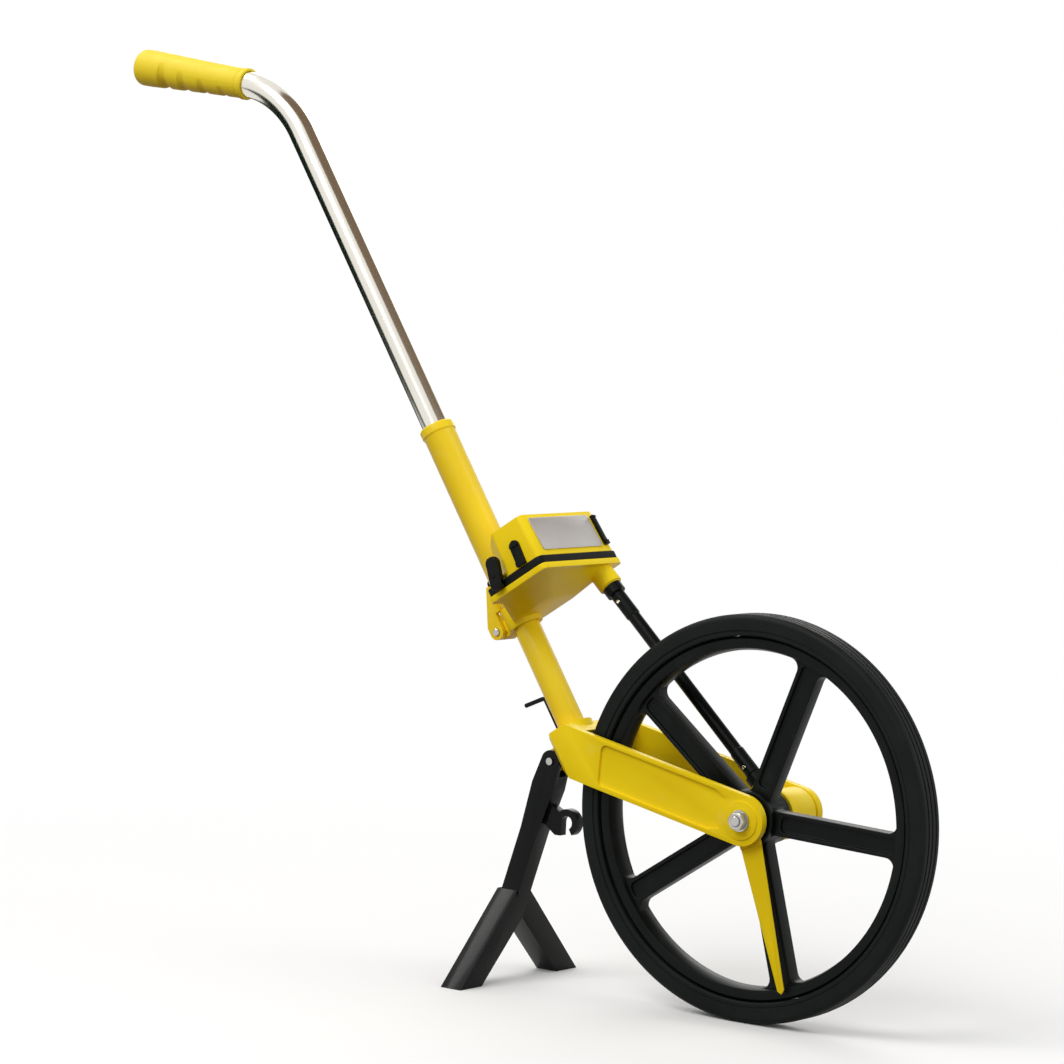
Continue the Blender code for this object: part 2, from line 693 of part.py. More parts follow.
def make_drive():
    """Bevel pinions, spindles, cross pins, bushes and the long black drive rod."""
    spindle_tip = BEVEL_RADIUS * BEVEL_INNER_SHARE
    counter_side = shift(z=DRIVE_LENGTH) @ turn_x(180)
    half_tooth = math.pi / BEVEL_TEETH
    top_face = DRIVE_LENGTH - DRIVE_ROD_END
    top_mouth = DRIVE_LENGTH - BOSS_END
    ends = (
        ("lower", Matrix.Identity(4), half_tooth - math.pi / 2, DRIVE_ROD_START, LOWER_BUSH_START, NECK_END),
        ("upper", counter_side, half_tooth + math.pi / 2, top_face, top_mouth - UPPER_BUSH_LENGTH, top_mouth),
    )
    rod_mesh = cylinder_mesh("drive_rod", DRIVE_ROD_RADIUS, DRIVE_ROD_START, DRIVE_ROD_END, SMALL_SIDES)
    rod = make_object("drive_rod", rod_mesh, DRIVE)
    finish(rod, "black")
    for end, frame, phase, rod_face, bush_start, bush_mouth in ends:
        gear = bevel_gear(
            f"{end}_pinion", DRIVE, frame, phase, SPINDLE_RADIUS + FIT, PINION_BOSS_RADIUS, PINION_BOSS_END
        )
        finish(gear, "steel")
        name = f"{end}_spindle"
        reach = rod_face + SOCKET_DEPTH
        spindle_mesh = cylinder_mesh(name, SPINDLE_RADIUS, spindle_tip, reach, SMALL_SIDES)
        spindle = make_object(name, spindle_mesh, DRIVE, frame)
        finish(spindle, "steel")
        bore = SPINDLE_RADIUS + FIT
        profile = [
            (bore, bush_mouth + BUSH_FLANGE),
            (BUSH_FLANGE_RADIUS, bush_mouth + BUSH_FLANGE),
            (BUSH_FLANGE_RADIUS, bush_mouth + FIT),
            (BUSH_RADIUS, bush_mouth + FIT),
            (BUSH_RADIUS, bush_start),
            (bore, bush_start),
        ]
        finish(turned_object(f"{end}_bush", profile, DRIVE, frame, SMALL_SIDES), "black")
        name = f"{end}_socket"
        socket = cylinder_mesh(name, bore, rod_face - OVERRUN, reach + FIT, SMALL_SIDES)
        cut(rod, make_object(name, socket, DRIVE, frame))
        across = frame @ shift(z=rod_face + SOCKET_DEPTH / 2) @ turn_x(90)
        half = DRIVE_ROD_RADIUS + DRIVE_PIN_PROUD
        name = f"{end}_drive_pin"
        pin = make_object(name, cylinder_mesh(name, DRIVE_PIN_RADIUS, -half, half, SMALL_SIDES), DRIVE, across)
        finish(pin, "chrome")
        name = f"{end}_pin_hole"
        hole_mesh = cylinder_mesh(name, DRIVE_PIN_RADIUS + FIT, -half - OVERRUN, half + OVERRUN, SMALL_SIDES)
        hole = make_object(name, hole_mesh, DRIVE, across)
        cut(rod, hole)
        cut(spindle, hole)


# Column and counter housing

DRUMS_OVER_FLANGE = 27.5 * MM
FLANGE_THICKNESS = 5 * MM
FLANGE_BACK = 14 * MM
FLANGE_FRONT = 76 * MM
FLANGE_RIGHT = 55 * MM
FLANGE_LEFT = 52 * MM
FLANGE_CORNER = 5 * MM
SEAL_THICKNESS = 5.5 * MM
SEAL_INSET = 0.6 * MM
SEAL_WIDTH = 4 * MM
HULL_DEPTH = 16 * MM
HULL_TOP_INSET = 4 * MM
HULL_BOTTOM_FRONT = 46 * MM
HULL_BOTTOM_SIDE = 20 * MM
HULL_WALL = 3 * MM
POCKET_BACK = 30 * MM
POCKET_LEDGE = 10 * MM
BOSS_RADIUS = 10 * MM
BOSS_LENGTH = 18.5 * MM
SOCKET_WALL = 3.5 * MM
COVER_OVER_DRUMS = 17 * MM
COVER_WALL = 2.2 * MM
COVER_DRAFT = 2.5 * MM
COVER_INSET = 1.5 * MM
COVER_CHAMFER_FORWARD = 40 * MM
COVER_CHAMFER_SIDE = 24 * MM
WINDOW_SIDE_GAP = 3 * MM
WINDOW_WIDTH = 17 * MM
WINDOW_THICKNESS = 1.6 * MM
WINDOW_LIP = 2 * MM
LABEL_THICKNESS = 0.6 * MM
LABEL_MARGIN = 6 * MM
LABEL_SIDE_MARGIN = 14 * MM
CLIP_WIDTH = 9 * MM
CLIP_THICKNESS = 3 * MM
CLIP_HEIGHT = 22 * MM
CLIP_ROUNDING = 0.6 * MM
SCREW_RADIUS = 2.2 * MM
SCREW_HEAD_RADIUS = 3.6 * MM
SCREW_HEAD = 2 * MM
SCREW_LENGTH = 6.5 * MM
SCREW_FORWARD = 23 * MM
SCREW_SIDE = 23.5 * MM

# Drums

DRUMS = 5
DRUM_PITCH = 12 * MM
DRUM_WIDTH = 9 * MM
DRUM_RADIUS = 11.5 * MM
DRUM_START = -36 * MM
DRUM_BORE = 2.3 * MM
DRUM_TEETH = 20
DRUM_GEAR_ROOT = 8.1 * MM
DRUM_GEAR_TIP = 9.3 * MM
DRUM_GEAR_WIDTH = 1.2 * MM
DRUM_SHAFT_RADIUS = 2 * MM
CARRY_TEETH = 8
CARRY_ROOT = 2.7 * MM
CARRY_TIP = 4 * MM
CARRY_BORE = 1.3 * MM
CARRY_SHAFT_RADIUS = 1 * MM
CARRY_DISTANCE = 12.8 * MM
CARRY_ANGLE = math.radians(60)
CARRY_TOOTH_ANGLE = math.radians(45)
FRAME_PLATE = 1.6 * MM
FRAME_HALF = 12 * MM
FRAME_TAB = 5 * MM

# Reset lever

RESET_FORWARD = 30 * MM
RESET_BELOW_DRUMS = 16 * MM
RESET_SHAFT_RADIUS = 2 * MM
RESET_HUB_RADIUS = 6.5 * MM
RESET_LEVER_HALF = 5.8 * MM
RESET_LEVER_TOP = (4.5 * MM, 9 * MM)
RESET_LEVER_FOOT = (0.5 * MM, -6 * MM)
RESET_LEVER_THICKNESS = 5.7 * MM
RESET_LEVER_ROUNDING = 0.5 * MM
RESET_FINGER = 16 * MM
RESET_FINGER_WIDTH = 2 * MM

FLANGE_TOP = COUNTER_HEIGHT - DRUMS_OVER_FLANGE
HULL_BOTTOM = FLANGE_TOP - HULL_DEPTH
COVER_TOP = COUNTER_HEIGHT + COVER_OVER_DRUMS
RESET_HEIGHT = COUNTER_HEIGHT - RESET_BELOW_DRUMS
RESET_LEVER_RIGHT = FLANGE_RIGHT + FIT + RESET_LEVER_THICKNESS
SEAL_TOP = FLANGE_TOP + SEAL_THICKNESS + 2 * FIT
COVER_BOTTOM = SEAL_TOP
COVER_FRONT = FLANGE_FRONT - COVER_INSET
COVER_RIGHT = FLANGE_RIGHT - COVER_INSET
COVER_LEFT = FLANGE_LEFT - COVER_INSET
RESET = make_empty("reset_axis", shift(x=RESET_FORWARD, z=RESET_HEIGHT) @ turn_x(90), COLUMN)
COUNTER = make_empty("counter_axis", shift(x=COUNTER_FORWARD, z=COUNTER_HEIGHT) @ turn_x(-90), COLUMN)
# z towards the right side on the drum axis, from the upper bevel gears' common point
COUNTER_MESH = make_empty(
    "counter_mesh_point",
    shift(COUNTER_FORWARD, GEAR_PLANE - COLUMN_LEFT, COUNTER_HEIGHT) @ turn_x(90),
    COLUMN,
)


def housing_outline(inset):
    """The counter housing seen along the column, its right side at -y, drawn in by an inset."""
    front = FLANGE_FRONT - inset
    back = FLANGE_BACK + inset
    right = -FLANGE_RIGHT + inset
    left = FLANGE_LEFT - inset
    corner = FLANGE_CORNER
    return (
        arc((front - corner, right + corner), corner, -math.pi / 2, 0, 3)
        + arc((front - corner, left - corner), corner, 0, math.pi / 2, 3)
        + [(back, left), (back, right)]
    )


def cover_outline(inset):
    """The counter cover seen along the column, with its rear corners cut away."""
    front = COVER_FRONT - inset
    back = FLANGE_BACK + COVER_INSET + inset
    right = -COVER_RIGHT + inset
    left = COVER_LEFT - inset
    corner = FLANGE_CORNER
    return (
        arc((front - corner, right + corner), corner, -math.pi / 2, 0, 3)
        + arc((front - corner, left - corner), corner, 0, math.pi / 2, 3)
        + [
            (COVER_CHAMFER_FORWARD, left),
            (back, left - COVER_CHAMFER_SIDE),
            (back, right + COVER_CHAMFER_SIDE),
            (COVER_CHAMFER_FORWARD, right),
        ]
    )


def make_lower_tube():
    """The yellow tube from the yoke up into the counter housing."""
    top = FLANGE_TOP - FLANGE_THICKNESS
    bottom = YOKE_SOCKET_FLOOR + FIT
    tube = make_object("lower_tube", cylinder_mesh("lower_tube", COLUMN_RADIUS, bottom, top), COLUMN)
    inside = cylinder_mesh("lower_tube_inside", COLUMN_RADIUS - COLUMN_WALL, bottom - OVERRUN, top + OVERRUN)
    cut(tube, make_object("lower_tube_inside", inside, COLUMN))
    finish(tube, "yellow")


def make_housing_base():
    """The cast lower housing: flange, hull, socket on the lower tube, drive boss and hinge lug."""
    flange_bottom = FLANGE_TOP - FLANGE_THICKNESS
    flange = plate_mesh("housing_base", housing_outline(0), flange_bottom, FLANGE_TOP)
    base = make_object("housing_base", flange, COLUMN)
    top = (
        FLANGE_BACK + HULL_TOP_INSET,
        FLANGE_FRONT - HULL_TOP_INSET,
        -FLANGE_RIGHT + HULL_TOP_INSET,
        FLANGE_LEFT - HULL_TOP_INSET,
    )
    bottom = (0, HULL_BOTTOM_FRONT, -HULL_BOTTOM_SIDE, HULL_BOTTOM_SIDE)
    hull = frustum_mesh("hull", bottom, top, HULL_BOTTOM, flange_bottom + SINK)
    socket_radius = COLUMN_RADIUS + SOCKET_WALL
    socket_foot = HINGE_HEIGHT - HINGE_RADIUS
    socket = cylinder_mesh("tube_socket", socket_radius, socket_foot, FLANGE_TOP - SINK)
    boss = cylinder_mesh("drive_boss", BOSS_RADIUS, BOSS_END, BOSS_END + BOSS_LENGTH)
    join(
        base,
        make_object("hull", hull, COLUMN),
        make_object("tube_socket", socket, COLUMN),
        make_object("drive_boss", boss, DRIVE),
        base_hinge_lug(),
    )
    pocket_top = (
        POCKET_BACK,
        FLANGE_FRONT - HULL_TOP_INSET - HULL_WALL,
        POCKET_LEDGE - FLANGE_RIGHT,
        GEAR_PLANE - COLUMN_LEFT - BOSS_RADIUS - HULL_WALL,
    )
    pocket_bottom = (
        socket_radius + HULL_WALL + HULL_WALL,
        HULL_BOTTOM_FRONT - HULL_WALL,
        HULL_WALL - HULL_BOTTOM_SIDE,
        HULL_BOTTOM_SIDE - HULL_WALL,
    )
    pocket_floor = HULL_BOTTOM + HULL_WALL
    pocket = frustum_mesh("hull_pocket", pocket_bottom, pocket_top, pocket_floor, FLANGE_TOP + OVERRUN)
    bore_end = DRIVE_LENGTH - PINION_BOSS_END - FIT
    bore = cylinder_mesh("boss_bore", BUSH_RADIUS + FIT, BOSS_END - OVERRUN, bore_end, SMALL_SIDES)
    tube_hole = cylinder_mesh("tube_hole", COLUMN_RADIUS + FIT, socket_foot - OVERRUN, flange_bottom + FIT)
    cut(
        base,
        make_object("hull_pocket", pocket, COLUMN),
        make_object("boss_bore", bore, DRIVE),
        make_object("tube_hole", tube_hole, COLUMN),
    )
    cut(base, hinge_pin_hole())
    for tool in screw_tools("base", SCREW_RADIUS + FIT):
        cut(base, tool)
    finish(base, "yellow")


def make_seal():
    """The black rubber seal between base and cover."""
    low = FLANGE_TOP + FIT
    high = low + SEAL_THICKNESS
    outer = plate_mesh("housing_seal", housing_outline(SEAL_INSET), low, high)
    seal = make_object("housing_seal", outer, COLUMN)
    inner = plate_mesh("seal_inside", cover_outline(SEAL_WIDTH), low - OVERRUN, high + OVERRUN)
    cut(seal, make_object("seal_inside", inner, COLUMN))
    finish(seal, "rubber")


def window_sides():
    """Ends of the window over the drums, right and left, in the column's frame."""
    start = DRUM_START - COLUMN_LEFT
    return (
        start - WINDOW_SIDE_GAP,
        start + DRUMS * DRUM_PITCH - (DRUM_PITCH - DRUM_WIDTH) + WINDOW_SIDE_GAP,
    )


def drafted_mesh(name, inset, low, high):
    """The cover's outline as a block that narrows upwards."""
    mesh = plate_mesh(name, cover_outline(inset), low, high)
    slope = COVER_DRAFT / (COVER_TOP - COVER_BOTTOM)
    middle = (COVER_FRONT + FLANGE_BACK) / 2
    for vertex in mesh.vertices:
        drawn = slope * (vertex.co.z - COVER_BOTTOM)
        vertex.co.x += drawn if vertex.co.x < middle else -drawn
        vertex.co.y += drawn if vertex.co.y < 0 else -drawn
    return mesh


def make_cover():
    """The yellow counter cover, a shell with a window opening over the drums."""
    cover = make_object("counter_cover", drafted_mesh("counter_cover", 0, COVER_BOTTOM, COVER_TOP), COLUMN)
    inner = drafted_mesh("cover_inside", COVER_WALL, COVER_BOTTOM - OVERRUN, COVER_TOP - COVER_WALL)
    right, left = window_sides()
    half = WINDOW_WIDTH / 2
    opening = box_mesh(
        "window_opening",
        (COUNTER_FORWARD - half, right, COVER_TOP - COVER_WALL - OVERRUN),
        (COUNTER_FORWARD + half, left, COVER_TOP + OVERRUN),
    )
    cut(cover, make_object("cover_inside", inner, COLUMN), make_object("window_opening", opening, COLUMN))
    cut(cover, reset_shaft_hole())
    for tool in screw_tools("cover", SCREW_RADIUS + FIT):
        cut(cover, tool)
    finish(cover, "yellow")
    step = COVER_TOP + FIT
    low = (COUNTER_FORWARD - half - WINDOW_LIP, right - WINDOW_LIP, step)
    high = (COUNTER_FORWARD + half + WINDOW_LIP, left + WINDOW_LIP, step + WINDOW_THICKNESS)
    window = make_object("counter_window", box_mesh("counter_window", low, high), COLUMN)
    finish(window, "clear")


def cover_front_tilt():
    """Frame on the cover's front face: x outwards, z up the drafted face."""
    lean = math.atan2(COVER_DRAFT, COVER_TOP - COVER_BOTTOM)
    return shift(COVER_FRONT, 0, COVER_BOTTOM) @ turn_y(-lean)


def make_cover_fittings():
    """The bare silver plate on the front and the two black clips that hold the cover down."""
    height = COVER_TOP - COVER_BOTTOM
    low = (FIT, -COVER_RIGHT + LABEL_SIDE_MARGIN, LABEL_MARGIN)
    high = (FIT + LABEL_THICKNESS, COVER_LEFT - LABEL_SIDE_MARGIN - CLIP_WIDTH / 2, height - LABEL_MARGIN)
    label = make_object("front_plate", box_mesh("front_plate", low, high), COLUMN, cover_front_tilt())
    finish(label, "silver_label")
    low = (FIT, COVER_LEFT - FLANGE_CORNER - CLIP_WIDTH, FIT)
    high = (FIT + CLIP_THICKNESS, COVER_LEFT - FLANGE_CORNER, height - LABEL_MARGIN)
    clip = box_mesh("cover_clip_left", low, high)
    left_clip = make_object("cover_clip_left", clip, COLUMN, cover_front_tilt())
    add_bevel(left_clip, CLIP_ROUNDING)
    finish(left_clip, "black")
    middle = (COVER_CHAMFER_FORWARD + COVER_FRONT) / 2
    lean = math.atan2(COVER_DRAFT, height)
    side = shift(middle, -COVER_RIGHT, COVER_BOTTOM) @ Matrix.Rotation(-lean, 4, "X")
    low = (-CLIP_WIDTH / 2, -FIT - CLIP_THICKNESS, FIT)
    high = (CLIP_WIDTH / 2, -FIT, CLIP_HEIGHT)
    right_clip = make_object("cover_clip_right", box_mesh("cover_clip_right", low, high), COLUMN, side)
    add_bevel(right_clip, CLIP_ROUNDING)
    finish(right_clip, "black")


def screw_places():
    """Where the two cover screws stand at the rear, in the column's frame."""
    middle = (COVER_LEFT - COVER_RIGHT) / 2
    return [
        ("right", SCREW_FORWARD, middle - SCREW_SIDE),
        ("left", SCREW_FORWARD, middle + SCREW_SIDE),
    ]


def screw_tools(owner, radius):
    """Clearance holes of the cover screws for one piece."""
    low = FLANGE_TOP - SCREW_LENGTH if owner == "base" else COVER_TOP - COVER_WALL - OVERRUN
    high = FLANGE_TOP + OVERRUN if owner == "base" else COVER_TOP + OVERRUN
    return [
        make_object(
            f"{owner}_screw_hole_{side}",
            cylinder_mesh("screw_hole", radius, low, high, SMALL_SIDES),
            COLUMN,
            shift(forward, across),
        )
        for side, forward, across in screw_places()
    ]


def make_cover_screws():
    """The two long screws that hold cover and base together at the rear."""
    head = COVER_TOP + FIT
    for side, forward, across in screw_places():
        name = f"cover_screw_{side}"
        profile = [
            (0, head + SCREW_HEAD),
            (SCREW_HEAD_RADIUS, head + SCREW_HEAD),
            (SCREW_HEAD_RADIUS, head),
            (SCREW_RADIUS, head),
            (SCREW_RADIUS, FLANGE_TOP - SCREW_LENGTH + FIT),
            (0, FLANGE_TOP - SCREW_LENGTH + FIT),
        ]
        finish(turned_object(name, profile, COLUMN, shift(forward, across), SMALL_SIDES), "steel")


def drum_place(index):
    """Right face of a digit drum, along the counter axis from the column's plane."""
    return DRUM_START - COLUMN_LEFT + index * DRUM_PITCH


def make_counter():
    """Drum frame, shaft, five digit drums, the carry pinions between them and the driven gear."""
    right_plate = drum_place(0) - FIT - FRAME_PLATE - DRUM_GEAR_WIDTH
    left_plate = drum_place(DRUMS - 1) + DRUM_WIDTH + DRUM_GEAR_WIDTH
    foot = FLANGE_TOP - COUNTER_HEIGHT + FIT
    frame = make_object(
        "drum_frame",
        box_mesh(
            "drum_frame",
            (-FRAME_HALF, -foot - FRAME_PLATE, right_plate - FRAME_TAB),
            (FRAME_HALF, -foot, left_plate + FRAME_PLATE + FRAME_TAB),
        ),
        COUNTER,
    )
    for name, low in (("right", right_plate), ("left", left_plate)):
        cheek = box_mesh(
            "cheek", (-FRAME_HALF, -DRUM_RADIUS, low), (FRAME_HALF, -foot - SINK, low + FRAME_PLATE)
        )
        join(frame, make_object(f"frame_cheek_{name}", cheek, COUNTER))
    ear_middle = RESET_FORWARD - COUNTER_FORWARD
    ear_top = COUNTER_HEIGHT - RESET_HEIGHT - RESET_HUB_RADIUS
    ear = box_mesh(
        "reset_ear",
        (ear_middle - RESET_HUB_RADIUS, ear_top, left_plate),
        (SINK - FRAME_HALF, -foot - FRAME_PLATE, left_plate + FRAME_PLATE),
    )
    join(frame, make_object("reset_ear", ear, COUNTER))
    low = right_plate - OVERRUN
    high = left_plate + FRAME_PLATE + OVERRUN
    reset_bore = RESET_SHAFT_RADIUS + FIT
    reset_hole = cylinder_mesh("frame_reset_hole", reset_bore, left_plate - OVERRUN, high, SMALL_SIDES)
    reset_place = shift(ear_middle, COUNTER_HEIGHT - RESET_HEIGHT)
    shaft_hole = cylinder_mesh("frame_shaft_hole", DRUM_SHAFT_RADIUS + FIT, low, high, SMALL_SIDES)
    carry_hole = cylinder_mesh("frame_carry_hole", CARRY_SHAFT_RADIUS + FIT, low, high, SMALL_SIDES)
    carry_place = Matrix.Rotation(CARRY_ANGLE, 4, "Z") @ shift(CARRY_DISTANCE)
    cut(
        frame,
        make_object("frame_shaft_hole", shaft_hole, COUNTER),
        make_object("frame_carry_hole", carry_hole, COUNTER, carry_place),
        make_object("frame_reset_hole", reset_hole, COUNTER, reset_place),
    )
    finish(frame, "steel")
    gear_back = GEAR_PLANE - COLUMN_LEFT - BEVEL_RADIUS * BEVEL_INNER_SHARE
    shaft = cylinder_mesh("drum_shaft", DRUM_SHAFT_RADIUS, right_plate - OVERRUN, gear_back, SMALL_SIDES)
    finish(make_object("drum_shaft", shaft, COUNTER), "steel")
    carry_shaft = cylinder_mesh("carry_shaft", CARRY_SHAFT_RADIUS, low, high, SMALL_SIDES)
    finish(make_object("carry_shaft", carry_shaft, COUNTER, carry_place), "steel")
    for index in range(DRUMS):
        make_drum(index)
        if index > 0:
            make_carry_pinion(index, carry_place)
    towards = Vector((math.sin(DRIVE_LEAN - COLUMN_LEAN), -math.cos(DRIVE_LEAN - COLUMN_LEAN)))
    gear_phase = math.atan2(towards.y, towards.x)
    gear_end = GEAR_PLANE - COLUMN_LEFT - left_plate - FRAME_PLATE - FIT
    gear = bevel_gear(
        "counter_gear", COUNTER_MESH, None, gear_phase, DRUM_SHAFT_RADIUS + FIT, PINION_BOSS_RADIUS, gear_end
    )
    finish(gear, "steel")


def make_drum(index):
    """One digit drum, with the toothed ring that its carry pinion turns."""
    low = drum_place(index)
    high = low + DRUM_WIDTH
    name = f"digit_drum_{index + 1}"
    drum = make_object(name, cylinder_mesh(name, DRUM_RADIUS, low, high, DRUM_TEETH * 2), COUNTER)
    if index > 0:
        teeth = tooth_outline(DRUM_TEETH, DRUM_GEAR_ROOT, DRUM_GEAR_TIP, CARRY_ANGLE)
        ring = plate_mesh("drum_ring", teeth, low - DRUM_GEAR_WIDTH, low + SINK)
        join(drum, make_object(f"drum_ring_{index + 1}", ring, COUNTER))
    if index < DRUMS - 1:
        low_corner = (DRUM_GEAR_ROOT - SINK, -DRUM_GEAR_WIDTH / 2, high - SINK)
        high_corner = (DRUM_GEAR_TIP, DRUM_GEAR_WIDTH / 2, high + DRUM_GEAR_WIDTH)
        tooth = box_mesh("carry_tooth", low_corner, high_corner)
        # the teeth stand so that the counter reads 0 3 8 3 8 at rest
        turn = Matrix.Rotation(CARRY_ANGLE + CARRY_TOOTH_ANGLE + index * math.pi, 4, "Z")
        join(drum, make_object(f"carry_tooth_{index + 1}", tooth, COUNTER, turn))
    bore = cylinder_mesh("drum_bore", DRUM_BORE, low - OVERRUN, high + OVERRUN, SMALL_SIDES)
    cut(drum, make_object(f"drum_bore_{index + 1}", bore, COUNTER))
    finish(drum, "red" if index == 0 else "white")


def make_carry_pinion(index, place):
    """The pinion that carries from one drum to the next."""
    high = drum_place(index) - FIT
    low = drum_place(index - 1) + DRUM_WIDTH + FIT
    phase = math.pi + math.pi / CARRY_TEETH
    name = f"carry_pinion_{index}"
    teeth = tooth_outline(CARRY_TEETH, CARRY_ROOT, CARRY_TIP, phase)
    pinion = make_object(name, plate_mesh(name, teeth, low, high), COUNTER, place)
    bore = cylinder_mesh("carry_bore", CARRY_BORE, low - OVERRUN, high + OVERRUN, SMALL_SIDES)
    cut(pinion, make_object(f"carry_bore_{index}", bore, COUNTER, place))
    finish(pinion, "brass")


def reset_shaft_hole():
    """Clearance for the reset shaft through the cover's right rear wall."""
    low = COVER_RIGHT - COVER_CHAMFER_SIDE
    hole = cylinder_mesh("reset_shaft_hole", RESET_SHAFT_RADIUS + FIT, low, RESET_LEVER_RIGHT, SMALL_SIDES)
    return make_object("reset_shaft_hole", hole, RESET)


def make_reset():
    """The thumb lever outside the cover, and inside it the shaft with a finger for each drum."""
    outer = RESET_LEVER_RIGHT
    inner = outer - RESET_LEVER_THICKNESS
    lower = arc(RESET_LEVER_FOOT, RESET_LEVER_HALF, -math.pi, 0, 8)
    outline = lower + arc(RESET_LEVER_TOP, RESET_LEVER_HALF, 0, math.pi, 8)
    lever = make_object("reset_lever", plate_mesh("reset_lever", outline, inner, outer), RESET)
    add_bevel(lever, RESET_LEVER_ROUNDING)
    hole = RESET_SHAFT_RADIUS + FIT
    bore = cylinder_mesh("lever_bore", hole, inner - OVERRUN, outer - OVERRUN, SMALL_SIDES)
    cut(lever, make_object("lever_bore", bore, RESET))
    finish(lever, "black")
    end = -drum_place(DRUMS - 1) - DRUM_WIDTH - DRUM_GEAR_WIDTH - FRAME_PLATE - OVERRUN
    shaft_mesh = cylinder_mesh("reset_shaft", RESET_SHAFT_RADIUS, end, outer - OVERRUN - FIT, SMALL_SIDES)
    shaft = make_object("reset_shaft", shaft_mesh, RESET)
    for index in range(DRUMS):
        middle = -drum_place(index) - DRUM_WIDTH / 2
        half = RESET_FINGER_WIDTH / 2
        finger = box_mesh("reset_finger", (0, -half, middle - half), (RESET_FINGER, half, middle + half))
        join(shaft, make_object(f"reset_finger_{index + 1}", finger, RESET))
    finish(shaft, "steel")


# Handle: upper tube, chrome tube, grip and fold

HINGE_BACK = 22 * MM
HINGE_BELOW_FLANGE = 13.5 * MM
HINGE_RADIUS = 6.5 * MM
HINGE_LUG_HALF = 6 * MM
HINGE_EAR = 4.5 * MM
HINGE_PIN_RADIUS = 3 * MM
HINGE_PIN_HEAD = 5 * MM
HINGE_PIN_HEAD_LENGTH = 1.5 * MM
UPPER_RADIUS = 13.5 * MM
EAR_TOP_UNDER_BUTTON = 3 * MM
UPPER_SOCKET = 112 * MM
UPPER_FLOOR_OVER_FLANGE = 52.5 * MM
UPPER_COLLAR_RADIUS = 14.5 * MM
UPPER_COLLAR = 7 * MM
HANDLE_RADIUS = 11 * MM
HANDLE_WALL = 1.5 * MM
HANDLE_STRAIGHT = 282 * MM
BEND_RADIUS = 88 * MM
BEND_ANGLE = math.radians(50.7)
BEND_STEPS = 12
TUBE_ROUNDNESS = 6
WIRE_ROUNDNESS = 2
GRIP_OVERLAP = 4 * MM
GRIP_LENGTH = 120 * MM
GRIP_RING = 5 * MM
GRIP_FRONT_RADIUS = 12.6 * MM
GRIP_BACK_RADIUS = 15.5 * MM
GRIP_SCALLOPS = 4
GRIP_SCALLOP_PITCH = 21 * MM
GRIP_SCALLOP_RADIUS = 12 * MM
GRIP_SCALLOP_START = 20 * MM
GRIP_SWELL = 13 * MM
GRIP_TUBE_SHORT = 20 * MM
BUTTON_OVER_HINGE = 39 * MM
BUTTON_RADIUS = 4 * MM
BUTTON_PROUD = 3 * MM
BUTTON_SUNK = 5 * MM
BUTTON_STROKE = 2 * MM
RIVET_RADIUS = 2 * MM
RIVET_HEAD_RADIUS = 3.6 * MM
RIVET_HEAD = 1.1 * MM
RIVET_REACH = 2.2 * MM
RIVET_BELOW_TOP = 22 * MM

HINGE_HEIGHT = FLANGE_TOP - HINGE_BELOW_FLANGE
BUTTON_HEIGHT = HINGE_HEIGHT + BUTTON_OVER_HINGE
UPPER_FLOOR = FLANGE_TOP + UPPER_FLOOR_OVER_FLANGE
UPPER_TOP = UPPER_FLOOR + UPPER_SOCKET
BEND_START = UPPER_TOP + HANDLE_STRAIGHT
HANDLE = make_empty("handle_hinge", shift(x=-HINGE_BACK, z=HINGE_HEIGHT) @ turn_x(-90), COLUMN)
# the column's own axes, carried by the handle's hinge
HANDLE_COLUMN = make_empty("handle_column", turn_x(90) @ shift(x=HINGE_BACK, z=-HINGE_HEIGHT), HANDLE)


def base_hinge_lug():
    """The lug behind the base that the handle folds on."""
    half = HINGE_LUG_HALF
    outline = arc((-HINGE_BACK, HINGE_HEIGHT), HINGE_RADIUS, math.pi / 2, 3 * math.pi / 2, 10) + [
        (-COLUMN_RADIUS, HINGE_HEIGHT - HINGE_RADIUS),
        (-COLUMN_RADIUS - FIT, HINGE_HEIGHT + HINGE_RADIUS),
    ]
    return make_object("base_hinge_lug", plate_mesh("base_hinge_lug", outline, -half, half), COLUMN, turn_x(90))


def hinge_pin_hole():
    """Clearance for the fold pin."""
    reach = HINGE_LUG_HALF + HINGE_EAR + OVERRUN
    hole = cylinder_mesh("hinge_pin_hole", HINGE_PIN_RADIUS + FIT, -reach, reach, SMALL_SIDES)
    return make_object("hinge_pin_hole", hole, HANDLE)


